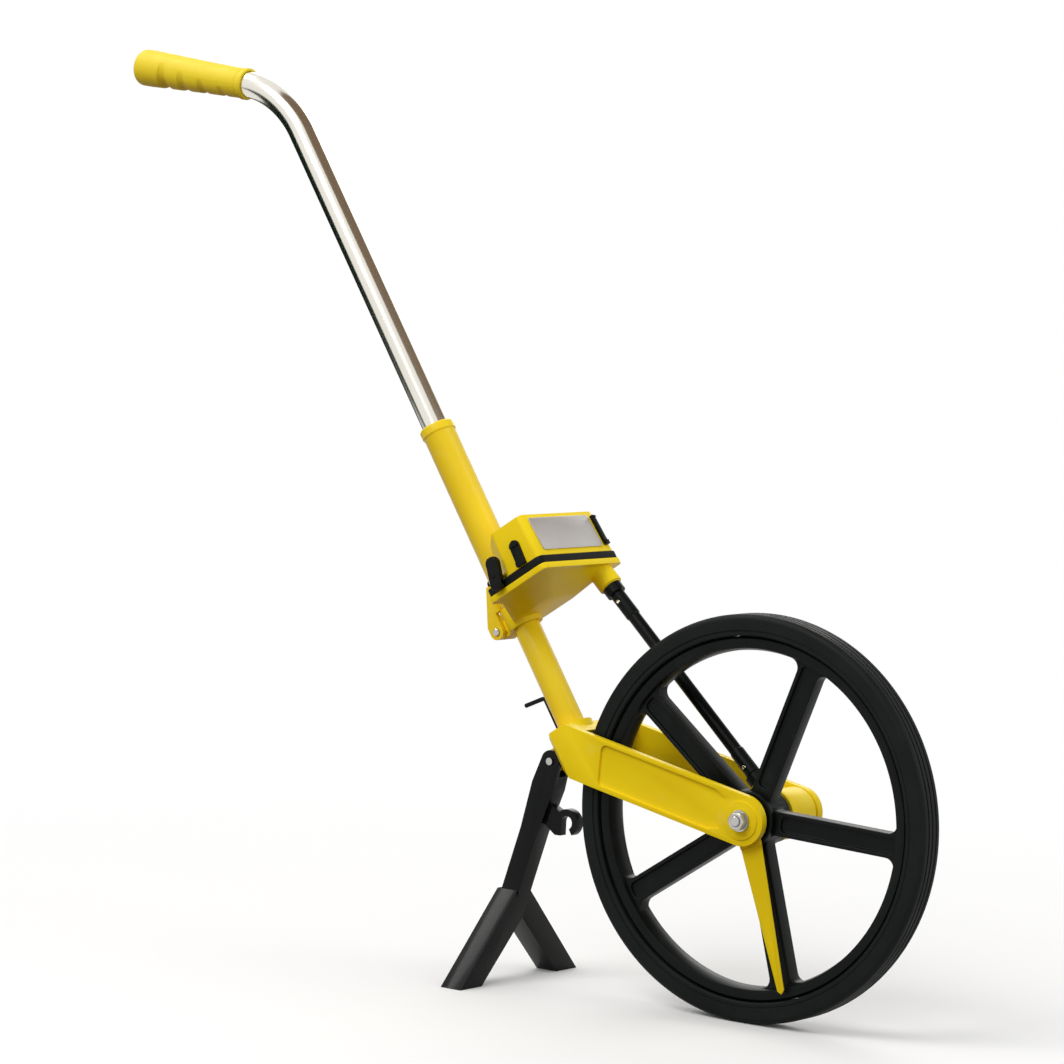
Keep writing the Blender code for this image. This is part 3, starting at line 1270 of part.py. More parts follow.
def make_upper_tube():
    """The yellow upper tube: socket for the chrome tube, and ears that reach down to the fold pin."""
    foot = FLANGE_TOP - SINK + FIT
    tube = make_object("upper_tube", cylinder_mesh("upper_tube", UPPER_RADIUS, foot, UPPER_TOP), HANDLE_COLUMN)
    collar = cylinder_mesh("upper_collar", UPPER_COLLAR_RADIUS, UPPER_TOP - UPPER_COLLAR, UPPER_TOP)
    join(tube, make_object("upper_collar", collar, HANDLE_COLUMN))
    inner = HINGE_LUG_HALF + FIT
    ear_top = BUTTON_HEIGHT - EAR_TOP_UNDER_BUTTON
    for side, low, high in (("right", inner, inner + HINGE_EAR), ("left", -inner - HINGE_EAR, -inner)):
        outline = arc((-HINGE_BACK, HINGE_HEIGHT), HINGE_RADIUS, -math.pi, 0, 10) + [
            (-HINGE_BACK + HINGE_RADIUS, foot + FIT),
            (-COLUMN_RADIUS, foot + SINK),
            (-COLUMN_RADIUS, ear_top),
            (-UPPER_RADIUS, ear_top),
            (-HINGE_BACK - HINGE_RADIUS, foot - HINGE_RADIUS),
        ]
        ear = plate_mesh("hinge_ear", outline, low, high)
        join(tube, make_object(f"hinge_ear_{side}", ear, HANDLE_COLUMN, turn_x(90)))
    bore = cylinder_mesh("upper_tube_bore", HANDLE_RADIUS + FIT, UPPER_FLOOR, UPPER_TOP + OVERRUN)
    button_floor = UPPER_RADIUS - BUTTON_SUNK - BUTTON_STROKE - FIT
    button_hole = cylinder_mesh("button_hole", BUTTON_RADIUS + FIT, button_floor, HINGE_BACK + BUTTON_SUNK)
    cut(
        tube,
        make_object("upper_tube_bore", bore, HANDLE_COLUMN),
        make_object("button_hole", button_hole, HANDLE_COLUMN, button_frame()),
        hinge_pin_hole(),
        rivet_tool("upper_tube_rivet_hole", FIT),
    )
    finish(tube, "yellow")


def button_frame():
    """Frame of the fold button: z out of the rear of the upper tube."""
    return shift(z=BUTTON_HEIGHT) @ turn_y(-math.pi / 2)


def rivet_tool(name, clearance):
    """The rivet's shank through one wall of the upper tube and of the chrome tube."""
    shank = cylinder_mesh(
        name, RIVET_RADIUS + clearance, HANDLE_RADIUS - RIVET_REACH, UPPER_RADIUS + FIT, SMALL_SIDES
    )
    return make_object(name, shank, HANDLE_COLUMN, shift(z=UPPER_TOP - RIVET_BELOW_TOP) @ turn_x(-90))


def make_fold_fittings():
    """Fold pin, fold button and the rivet that keeps the chrome tube in its socket."""
    reach = HINGE_LUG_HALF + 2 * FIT + HINGE_EAR
    head = reach + HINGE_PIN_HEAD_LENGTH
    profile = [
        (0, head),
        (HINGE_PIN_HEAD, head),
        (HINGE_PIN_HEAD, reach),
        (HINGE_PIN_RADIUS, reach),
        (HINGE_PIN_RADIUS, -head),
        (0, -head),
    ]
    finish(turned_object("fold_pin", profile, HANDLE, None, SMALL_SIDES), "steel")
    button = cylinder_mesh(
        "fold_button", BUTTON_RADIUS, UPPER_RADIUS - BUTTON_SUNK, UPPER_RADIUS + BUTTON_PROUD, SMALL_SIDES
    )
    finish(make_object("fold_button", button, HANDLE_COLUMN, button_frame()), "black")
    face = UPPER_RADIUS + FIT
    profile = [
        (0, face + RIVET_HEAD),
        (RIVET_RADIUS, face + RIVET_HEAD),
        (RIVET_HEAD_RADIUS, face),
        (RIVET_RADIUS, face),
        (RIVET_RADIUS, HANDLE_RADIUS - RIVET_HEAD),
        (0, HANDLE_RADIUS - RIVET_HEAD),
    ]
    place = shift(z=UPPER_TOP - RIVET_BELOW_TOP) @ turn_x(-90)
    finish(turned_object("handle_rivet", profile, HANDLE_COLUMN, place, SMALL_SIDES), "steel")


def bend_end():
    """Where the handle's bend ends, and the direction after it, in the column's frame."""
    end = (-BEND_RADIUS * (1 - math.cos(BEND_ANGLE)), BEND_START + BEND_RADIUS * math.sin(BEND_ANGLE))
    way = (-math.sin(BEND_ANGLE), math.cos(BEND_ANGLE))
    return end, way


def handle_path(longer):
    """Middle line of the chrome tube, made longer by a length at both ends."""
    end, way = bend_end()
    bend = arc((-BEND_RADIUS, BEND_START), BEND_RADIUS, 0, BEND_ANGLE, BEND_STEPS)
    tail = GRIP_LENGTH - GRIP_TUBE_SHORT + longer
    last = (end[0] + way[0] * tail, 0, end[1] + way[1] * tail)
    return [(0, 0, UPPER_FLOOR + FIT - longer)] + [(x, 0, z) for x, z in bend] + [last]


def make_handle_tube():
    """The chrome tube: straight in the upper tube, bent back, and straight in the grip."""
    outer = tube_mesh("handle_tube", handle_path(0), HANDLE_RADIUS, TUBE_ROUNDNESS)
    tube = make_object("handle_tube", outer, HANDLE_COLUMN)
    bore = HANDLE_RADIUS - HANDLE_WALL
    inside = tube_mesh("handle_tube_inside", handle_path(OVERRUN), bore, TUBE_ROUNDNESS)
    cut(tube, make_object("handle_tube_inside", inside, HANDLE_COLUMN))
    cut(tube, rivet_tool("handle_tube_rivet_hole", FIT))
    finish(tube, "chrome")


def grip_frame():
    """Frame of the grip: z along it towards its closed end, x to its finger side."""
    end, way = bend_end()
    start = (end[0] - way[0] * GRIP_OVERLAP, end[1] - way[1] * GRIP_OVERLAP)
    return shift(start[0], 0, start[1]) @ turn_y(-BEND_ANGLE) @ Matrix.Rotation(math.pi, 4, "Z")


def make_grip():
    """The yellow moulded grip with finger scallops under it."""
    flare = GRIP_BACK_RADIUS - GRIP_FRONT_RADIUS
    profile = [
        (0, GRIP_LENGTH),
        (GRIP_BACK_RADIUS - flare, GRIP_LENGTH),
        (GRIP_BACK_RADIUS, GRIP_LENGTH - flare),
        (GRIP_BACK_RADIUS, GRIP_LENGTH - GRIP_SWELL),
        (GRIP_BACK_RADIUS - flare / 4, GRIP_LENGTH / 2),
        (GRIP_FRONT_RADIUS, GRIP_RING),
        (GRIP_FRONT_RADIUS + flare / 4, GRIP_RING),
        (GRIP_FRONT_RADIUS + flare / 4, 0),
        (0, 0),
    ]
    grip = turned_object("grip", profile, HANDLE_COLUMN, grip_frame())
    for index in range(GRIP_SCALLOPS):
        along = GRIP_LENGTH - GRIP_SCALLOP_START - index * GRIP_SCALLOP_PITCH
        place = grip_frame() @ shift(GRIP_FRONT_RADIUS + GRIP_SCALLOP_RADIUS, 0, along) @ turn_x(90)
        reach = 2 * GRIP_BACK_RADIUS
        groove = cylinder_mesh("grip_scallop", GRIP_SCALLOP_RADIUS, -reach, reach)
        cut(grip, make_object(f"grip_scallop_{index + 1}", groove, HANDLE_COLUMN, place))
    floor = GRIP_LENGTH - GRIP_TUBE_SHORT + GRIP_OVERLAP + FIT
    room = cylinder_mesh("grip_bore", HANDLE_RADIUS + FIT, -OVERRUN, floor)
    cut(grip, make_object("grip_bore", room, HANDLE_COLUMN, grip_frame()))
    finish(grip, "grip_yellow")


# Stand and its catch

STAND_BACK = 28 * MM
STAND_HEIGHT = 45 * MM
STAND_HUB_RADIUS = 9 * MM
STAND_LUG_HALF = 4 * MM
STAND_EAR = 4 * MM
STAND_PIN_RADIUS = 3 * MM
STAND_PIN_HEAD = 5 * MM
STAND_LENGTH = 123 * MM
STAND_LEAN = math.radians(17.3)
STAND_TOP_WIDTH = 22 * MM
STAND_LEG_WIDTH = 17 * MM
STAND_SPREAD = 65 * MM
STAND_FOOT_WIDTH = 20 * MM
STAND_FOOT_FLAT = 28 * MM
STAND_FOOT_OVERLAP = 9.1 * MM
STAND_CROTCH_DROP = 23 * MM
HOOK_CENTRE = (-181 * MM, -26 * MM)
HOOK_OUTER = 11 * MM
HOOK_INNER = 5.5 * MM
HOOK_OUTER_START = math.radians(130)
HOOK_END = math.radians(-60)
HOOK_PRONG = 5.5 * MM
HOOK_ROOT_TOP = (-207 * MM, -8 * MM)
HOOK_ROOT_BOTTOM = (-210 * MM, -24 * MM)
HOOK_THICKNESS = 8 * MM
CATCH_RADIUS = 1.8 * MM
CATCH_TOP = 94 * MM
CATCH_TIP = 20 * MM
CATCH_RISE = 3 * MM

STAND_PIVOT = column_point(-STAND_BACK, STAND_HEIGHT)
STAND_SPLIT = STAND_PIVOT[0] - STAND_LENGTH * math.sin(STAND_LEAN)
STAND_SHOULDER = STAND_PIVOT[1] - STAND_LENGTH * math.cos(STAND_LEAN) + STAND_FOOT_OVERLAP
STAND_CROTCH = STAND_SHOULDER - STAND_CROTCH_DROP
# clears the corners of the lug's root all the way up
STAND_LUG_ROOM = math.hypot(STAND_BACK - YOKE_BACK + SINK, STAND_HUB_RADIUS) + FIT
STAND = make_empty("stand_pivot", shift(x=-STAND_BACK, z=STAND_HEIGHT) @ turn_x(-90), COLUMN)


def stand_lug():
    """The lug behind the yoke that the stand turns on."""
    outline = arc((-STAND_BACK, STAND_HEIGHT), STAND_HUB_RADIUS, math.pi / 2, 3 * math.pi / 2, 10) + [
        (-YOKE_BACK + SINK, STAND_HEIGHT - STAND_HUB_RADIUS),
        (-YOKE_BACK + SINK, STAND_HEIGHT + STAND_HUB_RADIUS),
    ]
    half = STAND_LUG_HALF
    return make_object("stand_lug", plate_mesh("stand_lug", outline, -half, half), COLUMN, turn_x(90))


def stand_pin_hole():
    """Clearance for the stand's pin."""
    reach = STAND_LUG_HALF + STAND_EAR + 2 * OVERRUN
    hole = cylinder_mesh("stand_pin_hole", STAND_PIN_RADIUS + FIT, -reach, reach, SMALL_SIDES)
    return make_object("stand_pin_hole", hole, STAND)


def stand_place(matrix):
    """Brings a placing in the object's own frame into the frame of the stand's pivot."""
    return STAND.matrix_local.inverted() @ COLUMN.matrix_local.inverted() @ matrix


def stand_feet_outline():
    """The two spread feet as one shape seen from behind, their flats on the ground."""
    reach = STAND_SPREAD + STAND_FOOT_FLAT / 2
    heel = STAND_SPREAD - STAND_FOOT_FLAT / 2
    return [
        (-STAND_LEG_WIDTH / 2, STAND_SHOULDER),
        (-reach, -AXLE_HEIGHT),
        (-heel, -AXLE_HEIGHT),
        (0, STAND_CROTCH),
        (heel, -AXLE_HEIGHT),
        (reach, -AXLE_HEIGHT),
        (STAND_LEG_WIDTH / 2, STAND_SHOULDER),
    ]


def hook_outline():
    """The hook on the stand's front, in the side view: an arm, an open ring and an inner prong."""
    outer = arc(HOOK_CENTRE, HOOK_OUTER, HOOK_OUTER_START, HOOK_END, 12)
    inner = arc(HOOK_CENTRE, HOOK_INNER, HOOK_END, math.pi, 10)
    prong = HOOK_CENTRE[0] - HOOK_INNER
    low = HOOK_CENTRE[1] - HOOK_OUTER
    return [HOOK_ROOT_TOP] + outer + inner + [(prong, low), (prong - HOOK_PRONG, low), HOOK_ROOT_BOTTOM]


def make_stand():
    """The black stand: ears on the pin, leg, two spread feet flat on the ground, and a hook."""
    upright = shift(STAND_PIVOT[0], COLUMN_LEFT, AXLE_HEIGHT + STAND_PIVOT[1]) @ turn_y(STAND_LEAN) @ turn_x(90)
    half_y = STAND_LUG_HALF + FIT + STAND_EAR
    half_top = STAND_TOP_WIDTH / 2
    half_leg = STAND_LEG_WIDTH / 2
    outline = arc((0, 0), STAND_HUB_RADIUS, 0, math.pi, 10) + [
        (-half_top, -STAND_TOP_WIDTH),
        (-half_leg, -STAND_LENGTH / 2),
        (-half_leg, -STAND_LENGTH),
        (half_leg, -STAND_LENGTH),
        (half_leg, -STAND_LENGTH / 2),
        (half_top, -STAND_TOP_WIDTH),
    ]
    stand = make_object("stand", plate_mesh("stand", outline, -half_y, half_y), STAND, stand_place(upright))
    half_foot = STAND_FOOT_WIDTH / 2
    across = shift(STAND_SPLIT, COLUMN_LEFT, AXLE_HEIGHT) @ Matrix.Rotation(math.pi / 2, 4, "Z") @ turn_x(90)
    feet = plate_mesh("stand_feet", stand_feet_outline(), -half_foot, half_foot)
    side_view = shift(y=COLUMN_LEFT, z=AXLE_HEIGHT) @ turn_x(90)
    hook = plate_mesh("stand_hook", hook_outline(), -HOOK_THICKNESS / 2, HOOK_THICKNESS / 2)
    join(
        stand,
        make_object("stand_feet", feet, STAND, stand_place(across)),
        make_object("stand_hook", hook, STAND, stand_place(side_view)),
    )
    room_half = STAND_LUG_HALF + FIT
    lug_room = cylinder_mesh("lug_room", STAND_LUG_ROOM, -room_half, room_half)
    cut(stand, make_object("lug_room", lug_room, STAND), stand_pin_hole())
    finish(stand, "gloss_black")
    reach = half_y + FIT
    head = reach + HINGE_PIN_HEAD_LENGTH
    profile = [
        (0, head),
        (STAND_PIN_HEAD, head),
        (STAND_PIN_HEAD, reach),
        (STAND_PIN_RADIUS, reach),
        (STAND_PIN_RADIUS, -head),
        (0, -head),
    ]
    finish(turned_object("stand_pin", profile, STAND, None, SMALL_SIDES), "steel")


def make_catch():
    """The black spring wire behind the lower tube that the folded stand rests against."""
    back = -COLUMN_RADIUS - CATCH_RADIUS - FIT
    foot = (back, 0, YOKE_TOP + FIT)
    points = [
        foot,
        (back, 0, CATCH_TOP - CATCH_RADIUS),
        (back - CATCH_RADIUS, 0, CATCH_TOP),
        (back - CATCH_TIP, 0, CATCH_TOP + CATCH_RISE),
    ]
    pivot = make_empty("catch_foot", shift(*foot), COLUMN)
    local = [tuple(a - b for a, b in zip(point, foot)) for point in points]
    wire = tube_mesh("stand_catch", local, CATCH_RADIUS, WIRE_ROUNDNESS)
    finish(make_object("stand_catch", wire, pivot), "gloss_black")


make_tyre()
make_wheel_moulding()
make_hub_pieces()
make_fork()
make_axle_pieces()
make_pointer()
make_gear_box()
make_drive()
make_lower_tube()
make_housing_base()
make_seal()
make_cover()
make_cover_fittings()
make_cover_screws()
make_counter()
make_reset()
make_upper_tube()
make_fold_fittings()
make_handle_tube()
make_grip()
make_stand()
make_catch()
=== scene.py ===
"""Looks of the measuring wheel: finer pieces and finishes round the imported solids.

Metres, +Z up. +X is the way the wheel is pushed and +Y its left side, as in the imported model.
"""

import logging
import math
from dataclasses import dataclass, field
from enum import Enum
from typing import Iterable, Optional, Sequence, Union

import bmesh
import bpy
from mathutils import Matrix, Vector


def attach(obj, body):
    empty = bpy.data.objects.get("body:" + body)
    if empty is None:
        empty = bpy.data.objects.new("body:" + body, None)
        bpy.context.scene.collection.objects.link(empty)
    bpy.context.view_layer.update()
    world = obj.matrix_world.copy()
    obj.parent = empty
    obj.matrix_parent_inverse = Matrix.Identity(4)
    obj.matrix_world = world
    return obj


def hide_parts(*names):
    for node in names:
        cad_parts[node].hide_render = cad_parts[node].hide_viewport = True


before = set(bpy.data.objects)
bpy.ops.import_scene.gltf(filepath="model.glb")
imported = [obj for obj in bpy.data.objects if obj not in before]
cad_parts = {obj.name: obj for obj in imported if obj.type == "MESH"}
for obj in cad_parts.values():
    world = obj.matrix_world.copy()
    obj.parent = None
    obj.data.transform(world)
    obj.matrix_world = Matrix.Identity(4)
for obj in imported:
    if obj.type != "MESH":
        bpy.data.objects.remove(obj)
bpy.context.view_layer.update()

LOG = logging.getLogger("measuring_wheel")
Colour = tuple[float, float, float]
Point = tuple[float, float]
Number = Union[float, "Wire"]

MM = 0.001
FULL_TURN = math.tau
FIT = 0.3 * MM
OVERRUN = 2 * MM
PIN_HOLE = 3.3 * MM
SMOOTH_UNDER = 34.0
WHEEL_RADIUS = 1000 * MM / math.tau
AXLE_HEIGHT = WHEEL_RADIUS * math.cos(math.pi / 80)
COLUMN_BACK = 148.4 * MM
COLUMN_LEFT = 5 * MM
COLUMN_LEAN = math.radians(33.2)
GEAR_PLANE = 40 * MM


# Shader tools


class Wire:
    """A node's output, on which sums and products add Math nodes."""

    def __init__(self, net: "Net", socket: bpy.types.NodeSocket) -> None:
        """Keeps the socket and the net it belongs to."""
        self.net = net
        self.socket = socket

    def joined(self, operation: str, other: Number) -> "Wire":
        """Adds one Math node, with this value first and the other second."""
        return self.net.add("ShaderNodeMath", {"operation": operation}, {0: self, 1: other}, 0)

    def __add__(self, other: Number) -> "Wire":
        """Sum."""
        return self.joined("ADD", other)

    def __mul__(self, other: Number) -> "Wire":
        """Product."""
        return self.joined("MULTIPLY", other)


class Net:
    """The node tree of one material or of the world."""

    def __init__(self, tree: bpy.types.NodeTree) -> None:
        """Keeps the tree."""
        self.tree = tree

    def add(
        self, kind: str, settings: dict, inputs: dict, output: Union[int, str, None] = None
    ) -> Union[bpy.types.Node, Wire]:
        """Adds one node, with its settings first and its sockets after.

        Args:
            kind: The node's type.
            settings: Attributes of the node; "stops" are a ramp's places and colours.
            inputs: Values or wires by socket name or index.
            output: The socket that is asked for.

        Returns:
            The node, or a wire from the socket asked for.
        """
        node = self.tree.nodes.new(kind)
        for key, value in settings.items():
            if key == "stops":
                for stop, (place, colour) in zip(node.color_ramp.elements, value):
                    stop.position = place
                    stop.color = colour
            else:
                setattr(node, key, value)
        for key, value in inputs.items():
            if isinstance(value, Wire):
                self.tree.links.new(value.socket, node.inputs[key])
            else:
                node.inputs[key].default_value = value
        return node if output is None else Wire(self, node.outputs[output])

    def blend(self, share: Number, low: Union[Colour, Wire], high: Union[Colour, Wire]) -> Wire:
        """Mixes two colours by a share."""
        ends = [end if isinstance(end, Wire) else (*end, 1.0) for end in (low, high)]
        settings = {"data_type": "RGBA"}
        return self.add("ShaderNodeMix", settings, {"Factor": share, 6: ends[0], 7: ends[1]}, 2)

    def step(self, value: Wire, start: float, end: float) -> Wire:
        """Rises from 0 at start to 1 at end, smoothly."""
        settings = {"interpolation_type": "SMOOTHSTEP"}
        return self.add("ShaderNodeMapRange", settings, {"Value": value, 1: start, 2: end}, 0)

    def noise(self, place: Wire, scale: float, detail: float = 3.0) -> Wire:
        """Cloudy noise between 0 and 1, with so many clouds in a metre."""
        inputs = {"Vector": place, "Scale": scale, "Detail": detail}
        return self.add("ShaderNodeTexNoise", {}, inputs, "Fac")


# Finishes


@dataclass(frozen=True)
class Finish:
    """One finish, with the grain, colour change, scuffs and gloss that it has on this object."""

    name: str
    slot: str
    colour: Colour
    roughness: float
    metallic: float = 0.0
    shaded: Colour = (0.0, 0.0, 0.0)
    shade_share: float = 0.12
    cloud_scale: float = 22.0
    grain_scale: float = 900.0
    grain_height: float = 0.02 * MM
    stretch: tuple[float, float, float] = (1.0, 1.0, 1.0)
    gloss_change: float = 0.08
    scuff: Colour = (0.5, 0.5, 0.5)
    scuff_share: float = 0.0
    scuff_scale: float = 60.0
    coat: float = 0.0
    coat_roughness: float = 0.08
    specular: float = 0.5
    alpha: float = 1.0

    def material(self) -> bpy.types.Material:
        """Makes the material, or gives the one made before.

        Returns:
            The material of this finish.
        """
        ready = bpy.data.materials.get(self.name)
        if ready is not None:
            return ready
        made = bpy.data.materials.new(self.name)
        made.use_nodes = True
        net = Net(made.node_tree)
        shader = made.node_tree.nodes["Principled BSDF"]
        place = net.add("ShaderNodeTexCoord", {}, {}, "Object")
        clouds = net.step(net.noise(place, self.cloud_scale), 0.3, 0.7)
        drawn = net.add("ShaderNodeMapping", {}, {"Vector": place, "Scale": self.stretch}, 0)
        grain = net.noise(drawn, self.grain_scale, 2.0)
        scuffs = net.step(net.noise(drawn, self.scuff_scale, 6.0), 0.58, 0.72) * self.scuff_share
        base = net.blend(clouds * self.shade_share, self.colour, self.shaded)
        base = net.blend(scuffs, base, self.scuff)
        rough = clouds * self.gloss_change + grain * self.gloss_change + scuffs * 0.25
        rough = rough + (self.roughness - self.gloss_change)
        bump = {"Height": grain, "Distance": self.grain_height, "Strength": 1.0}
        relief = net.add("ShaderNodeBump", {}, bump, "Normal")
        net.tree.links.new(base.socket, shader.inputs["Base Color"])
        net.tree.links.new(rough.socket, shader.inputs["Roughness"])
        net.tree.links.new(relief.socket, shader.inputs["Normal"])
        shader.inputs["Metallic"].default_value = self.metallic
        shader.inputs["Coat Weight"].default_value = self.coat
        shader.inputs["Coat Roughness"].default_value = self.coat_roughness
        shader.inputs["Specular IOR Level"].default_value = self.specular
        shader.inputs["Alpha"].default_value = self.alpha
        made.diffuse_color = (*self.colour, self.alpha)
        return made


CAST_YELLOW = Finish(
    "cast_yellow_enamel", "yellow_casting", (0.97, 0.73, 0.008), 0.40, shaded=(0.80, 0.46, 0.004),
    shade_share=0.16, grain_scale=420.0, grain_height=0.05 * MM, scuff=(0.95, 0.78, 0.20),
    scuff_share=0.12, coat=0.0, coat_roughness=0.2, specular=0.12,
)
TUBE_YELLOW = Finish(
    "tube_yellow_enamel", "yellow", (0.97, 0.71, 0.008), 0.34, shaded=(0.80, 0.46, 0.004),
    shade_share=0.16, grain_scale=300.0, grain_height=0.03 * MM, scuff=(0.95, 0.78, 0.20),
    scuff_share=0.10, coat=0.12, coat_roughness=0.15, specular=0.25,
)
GRIP_YELLOW = Finish(
    "moulded_grip_yellow", "grip_yellow", (0.90, 0.70, 0.02), 0.58, shaded=(0.72, 0.50, 0.01),
    shade_share=0.2, cloud_scale=40.0, grain_scale=1500.0, grain_height=0.05 * MM,
    scuff=(0.50, 0.40, 0.06), scuff_share=0.10, specular=0.35,
)
BLACK_MOULDED = Finish(
    "black_moulded_plastic", "black", (0.003, 0.0045, 0.0040), 0.36, shaded=(0.008, 0.011, 0.010),
    shade_share=0.5, grain_scale=1300.0, grain_height=0.035 * MM, gloss_change=0.1,
    scuff=(0.03, 0.036, 0.033), scuff_share=0.14, scuff_scale=45.0, specular=0.10,
)
BLACK_ENAMEL = Finish(
    "gloss_black_enamel", "gloss_black", (0.003, 0.004, 0.0036), 0.22, shaded=(0.008, 0.010, 0.009),
    shade_share=0.4, grain_scale=260.0, grain_height=0.06 * MM, gloss_change=0.08,
    scuff=(0.03, 0.034, 0.032), scuff_share=0.12, coat=0.1, coat_roughness=0.08,
    specular=0.07,
)
RUBBER = Finish(
    "black_rubber", "rubber", (0.004, 0.0055, 0.005), 0.55, shaded=(0.010, 0.014, 0.0125),
    shade_share=0.6, cloud_scale=30.0, grain_scale=1000.0, grain_height=0.06 * MM,
    gloss_change=0.12, scuff=(0.028, 0.032, 0.03), scuff_share=0.16, scuff_scale=35.0, specular=0.12,
)
CHROME = Finish(
    "bright_chrome", "chrome", (0.82, 0.79, 0.71), 0.17, metallic=1.0, shaded=(0.55, 0.50, 0.42),
    shade_share=0.25, cloud_scale=9.0, grain_scale=500.0, grain_height=0.001 * MM,
    gloss_change=0.04, scuff=(0.35, 0.33, 0.28), scuff_share=0.06,
)
STEEL = Finish(
    "turned_steel", "steel", (0.52, 0.51, 0.49), 0.3, metallic=1.0, shaded=(0.30, 0.29, 0.27),
    shade_share=0.3, grain_scale=1400.0, grain_height=0.008 * MM, gloss_change=0.1,
)
BRASS = Finish(
    "plain_brass", "brass", (0.60, 0.43, 0.16), 0.33, metallic=1.0, shaded=(0.38, 0.25, 0.08),
    shade_share=0.3, grain_scale=1200.0, grain_height=0.008 * MM,
)
SATIN_PLATE = Finish(
    "satin_silver_plate", "silver", (0.56, 0.54, 0.52), 0.42, metallic=0.55,
    shaded=(0.44, 0.42, 0.40), shade_share=0.35, grain_scale=1100.0, grain_height=0.01 * MM,
    stretch=(1.0, 0.04, 1.0), gloss_change=0.14,
)
WHITE_DRUM = Finish(
    "white_drum_plastic", "white", (0.78, 0.78, 0.75), 0.4, shaded=(0.66, 0.65, 0.60),
    shade_share=0.3, grain_scale=1200.0, grain_height=0.01 * MM,
)
RED_DRUM = Finish(
    "red_drum_plastic", "red", (0.55, 0.025, 0.015), 0.4, shaded=(0.40, 0.015, 0.01),
    shade_share=0.3, grain_scale=1200.0, grain_height=0.01 * MM,
)
DIGIT_BLACK = Finish(
    "printed_black", "black", (0.012, 0.012, 0.012), 0.5, shaded=(0.03, 0.03, 0.03),
    grain_scale=1500.0, grain_height=0.004 * MM,
)
DIGIT_WHITE = Finish(
    "printed_white", "white", (0.80, 0.80, 0.78), 0.5, shaded=(0.7, 0.7, 0.68),
    grain_scale=1500.0, grain_height=0.004 * MM,
)
CLEAR_LENS = Finish(
    "clear_lens", "clear", (0.30, 0.34, 0.34), 0.07, shaded=(0.24, 0.28, 0.28), gloss_change=0.03,
    grain_height=0.001 * MM, coat=0.4, coat_roughness=0.02, alpha=0.10,
)


# Shapes


def arc(centre: Point, radius: float, start: float, end: float, steps: int) -> list[Point]:
    """Points on an arc, both ends included."""
    turns = [start + (end - start) * i / steps for i in range(steps + 1)]
    return [(centre[0] + radius * math.cos(a), centre[1] + radius * math.sin(a)) for a in turns]


def rounded_outline(outline: Sequence[Point], radius: float, steps: int = 5) -> list[Point]:
    """Rounds the corners of a closed outline.

    Args:
        outline: The corners in order.
        radius: The round's radius, made less where a side is too short for it.
        steps: Steps on each round.

    Returns:
        The rounded outline.
    """
    made: list[Point] = []
    count = len(outline)
    for index in range(count):
        here = Vector(outline[index])
        back = Vector(outline[index - 1]) - here
        ahead = Vector(outline[(index + 1) % count]) - here
        half = back.angle(ahead) / 2
        if half > math.radians(82):
            made.append(tuple(here))
            continue
        reach = min(radius / math.tan(half), back.length * 0.48, ahead.length * 0.48)
        size = reach * math.tan(half)
        middle = here + (back.normalized() + ahead.normalized()).normalized() * (size / math.sin(half))
        first = here + back.normalized() * reach - middle
        last = here + ahead.normalized() * reach - middle
        turn = math.atan2(first.x * last.y - first.y * last.x, first.dot(last))
        start = math.atan2(first.y, first.x)
        made += arc(tuple(middle), size, start, start + turn, steps)
    return made


def rounded_box(low: Point, high: Point, radius: float, steps: int = 5) -> list[Point]:
    """A rectangle between two corners, with its corners rounded."""
    return rounded_outline([low, (high[0], low[1]), high, (low[0], high[1])], radius, steps)


def plate(outline: Sequence[Point], low: float, high: float) -> bmesh.types.BMesh:
    """A flat outline in x and y, as thick as from low to high in z."""
    made = bmesh.new()
    bottom = made.faces.new([made.verts.new((x, y, low)) for x, y in outline])
    grown = bmesh.ops.extrude_face_region(made, geom=[bottom])["geom"]
    moved = [item for item in grown if isinstance(item, bmesh.types.BMVert)]
    bmesh.ops.translate(made, verts=moved, vec=(0, 0, high - low))
    bmesh.ops.recalc_face_normals(made, faces=made.faces)
    return made


def block(low: Sequence[float], high: Sequence[float]) -> bmesh.types.BMesh:
    """A box between two corners."""
    corners = [(low[0], low[1]), (high[0], low[1]), (high[0], high[1]), (low[0], high[1])]
    return plate(corners, low[2], high[2])


def turned(profile: Sequence[Point], sides: int = 64) -> bmesh.types.BMesh:
    """A closed (radius, z) outline turned about the z axis.

    Args:
        profile: Corners of the section; those on the axis are its poles.
        sides: Steps round the axis.

    Returns:
        The closed shape.
    """
    made = bmesh.new()
    rings = []
    for radius, z in profile:
        spots = 1 if radius < MM * MM else sides
        turns = [FULL_TURN * i / sides for i in range(spots)]
        rings.append([made.verts.new((radius * math.cos(a), radius * math.sin(a), z)) for a in turns])
    for first, second in zip(rings, rings[1:] + rings[:1]):
        for i in range(sides):
            corners = [first[i % len(first)], first[(i + 1) % len(first)]]
            corners += [second[(i + 1) % len(second)], second[i % len(second)]]
            corners = list(dict.fromkeys(corners))
            if len(corners) > 2:
                made.faces.new(corners)
    bmesh.ops.recalc_face_normals(made, faces=made.faces)
    return made


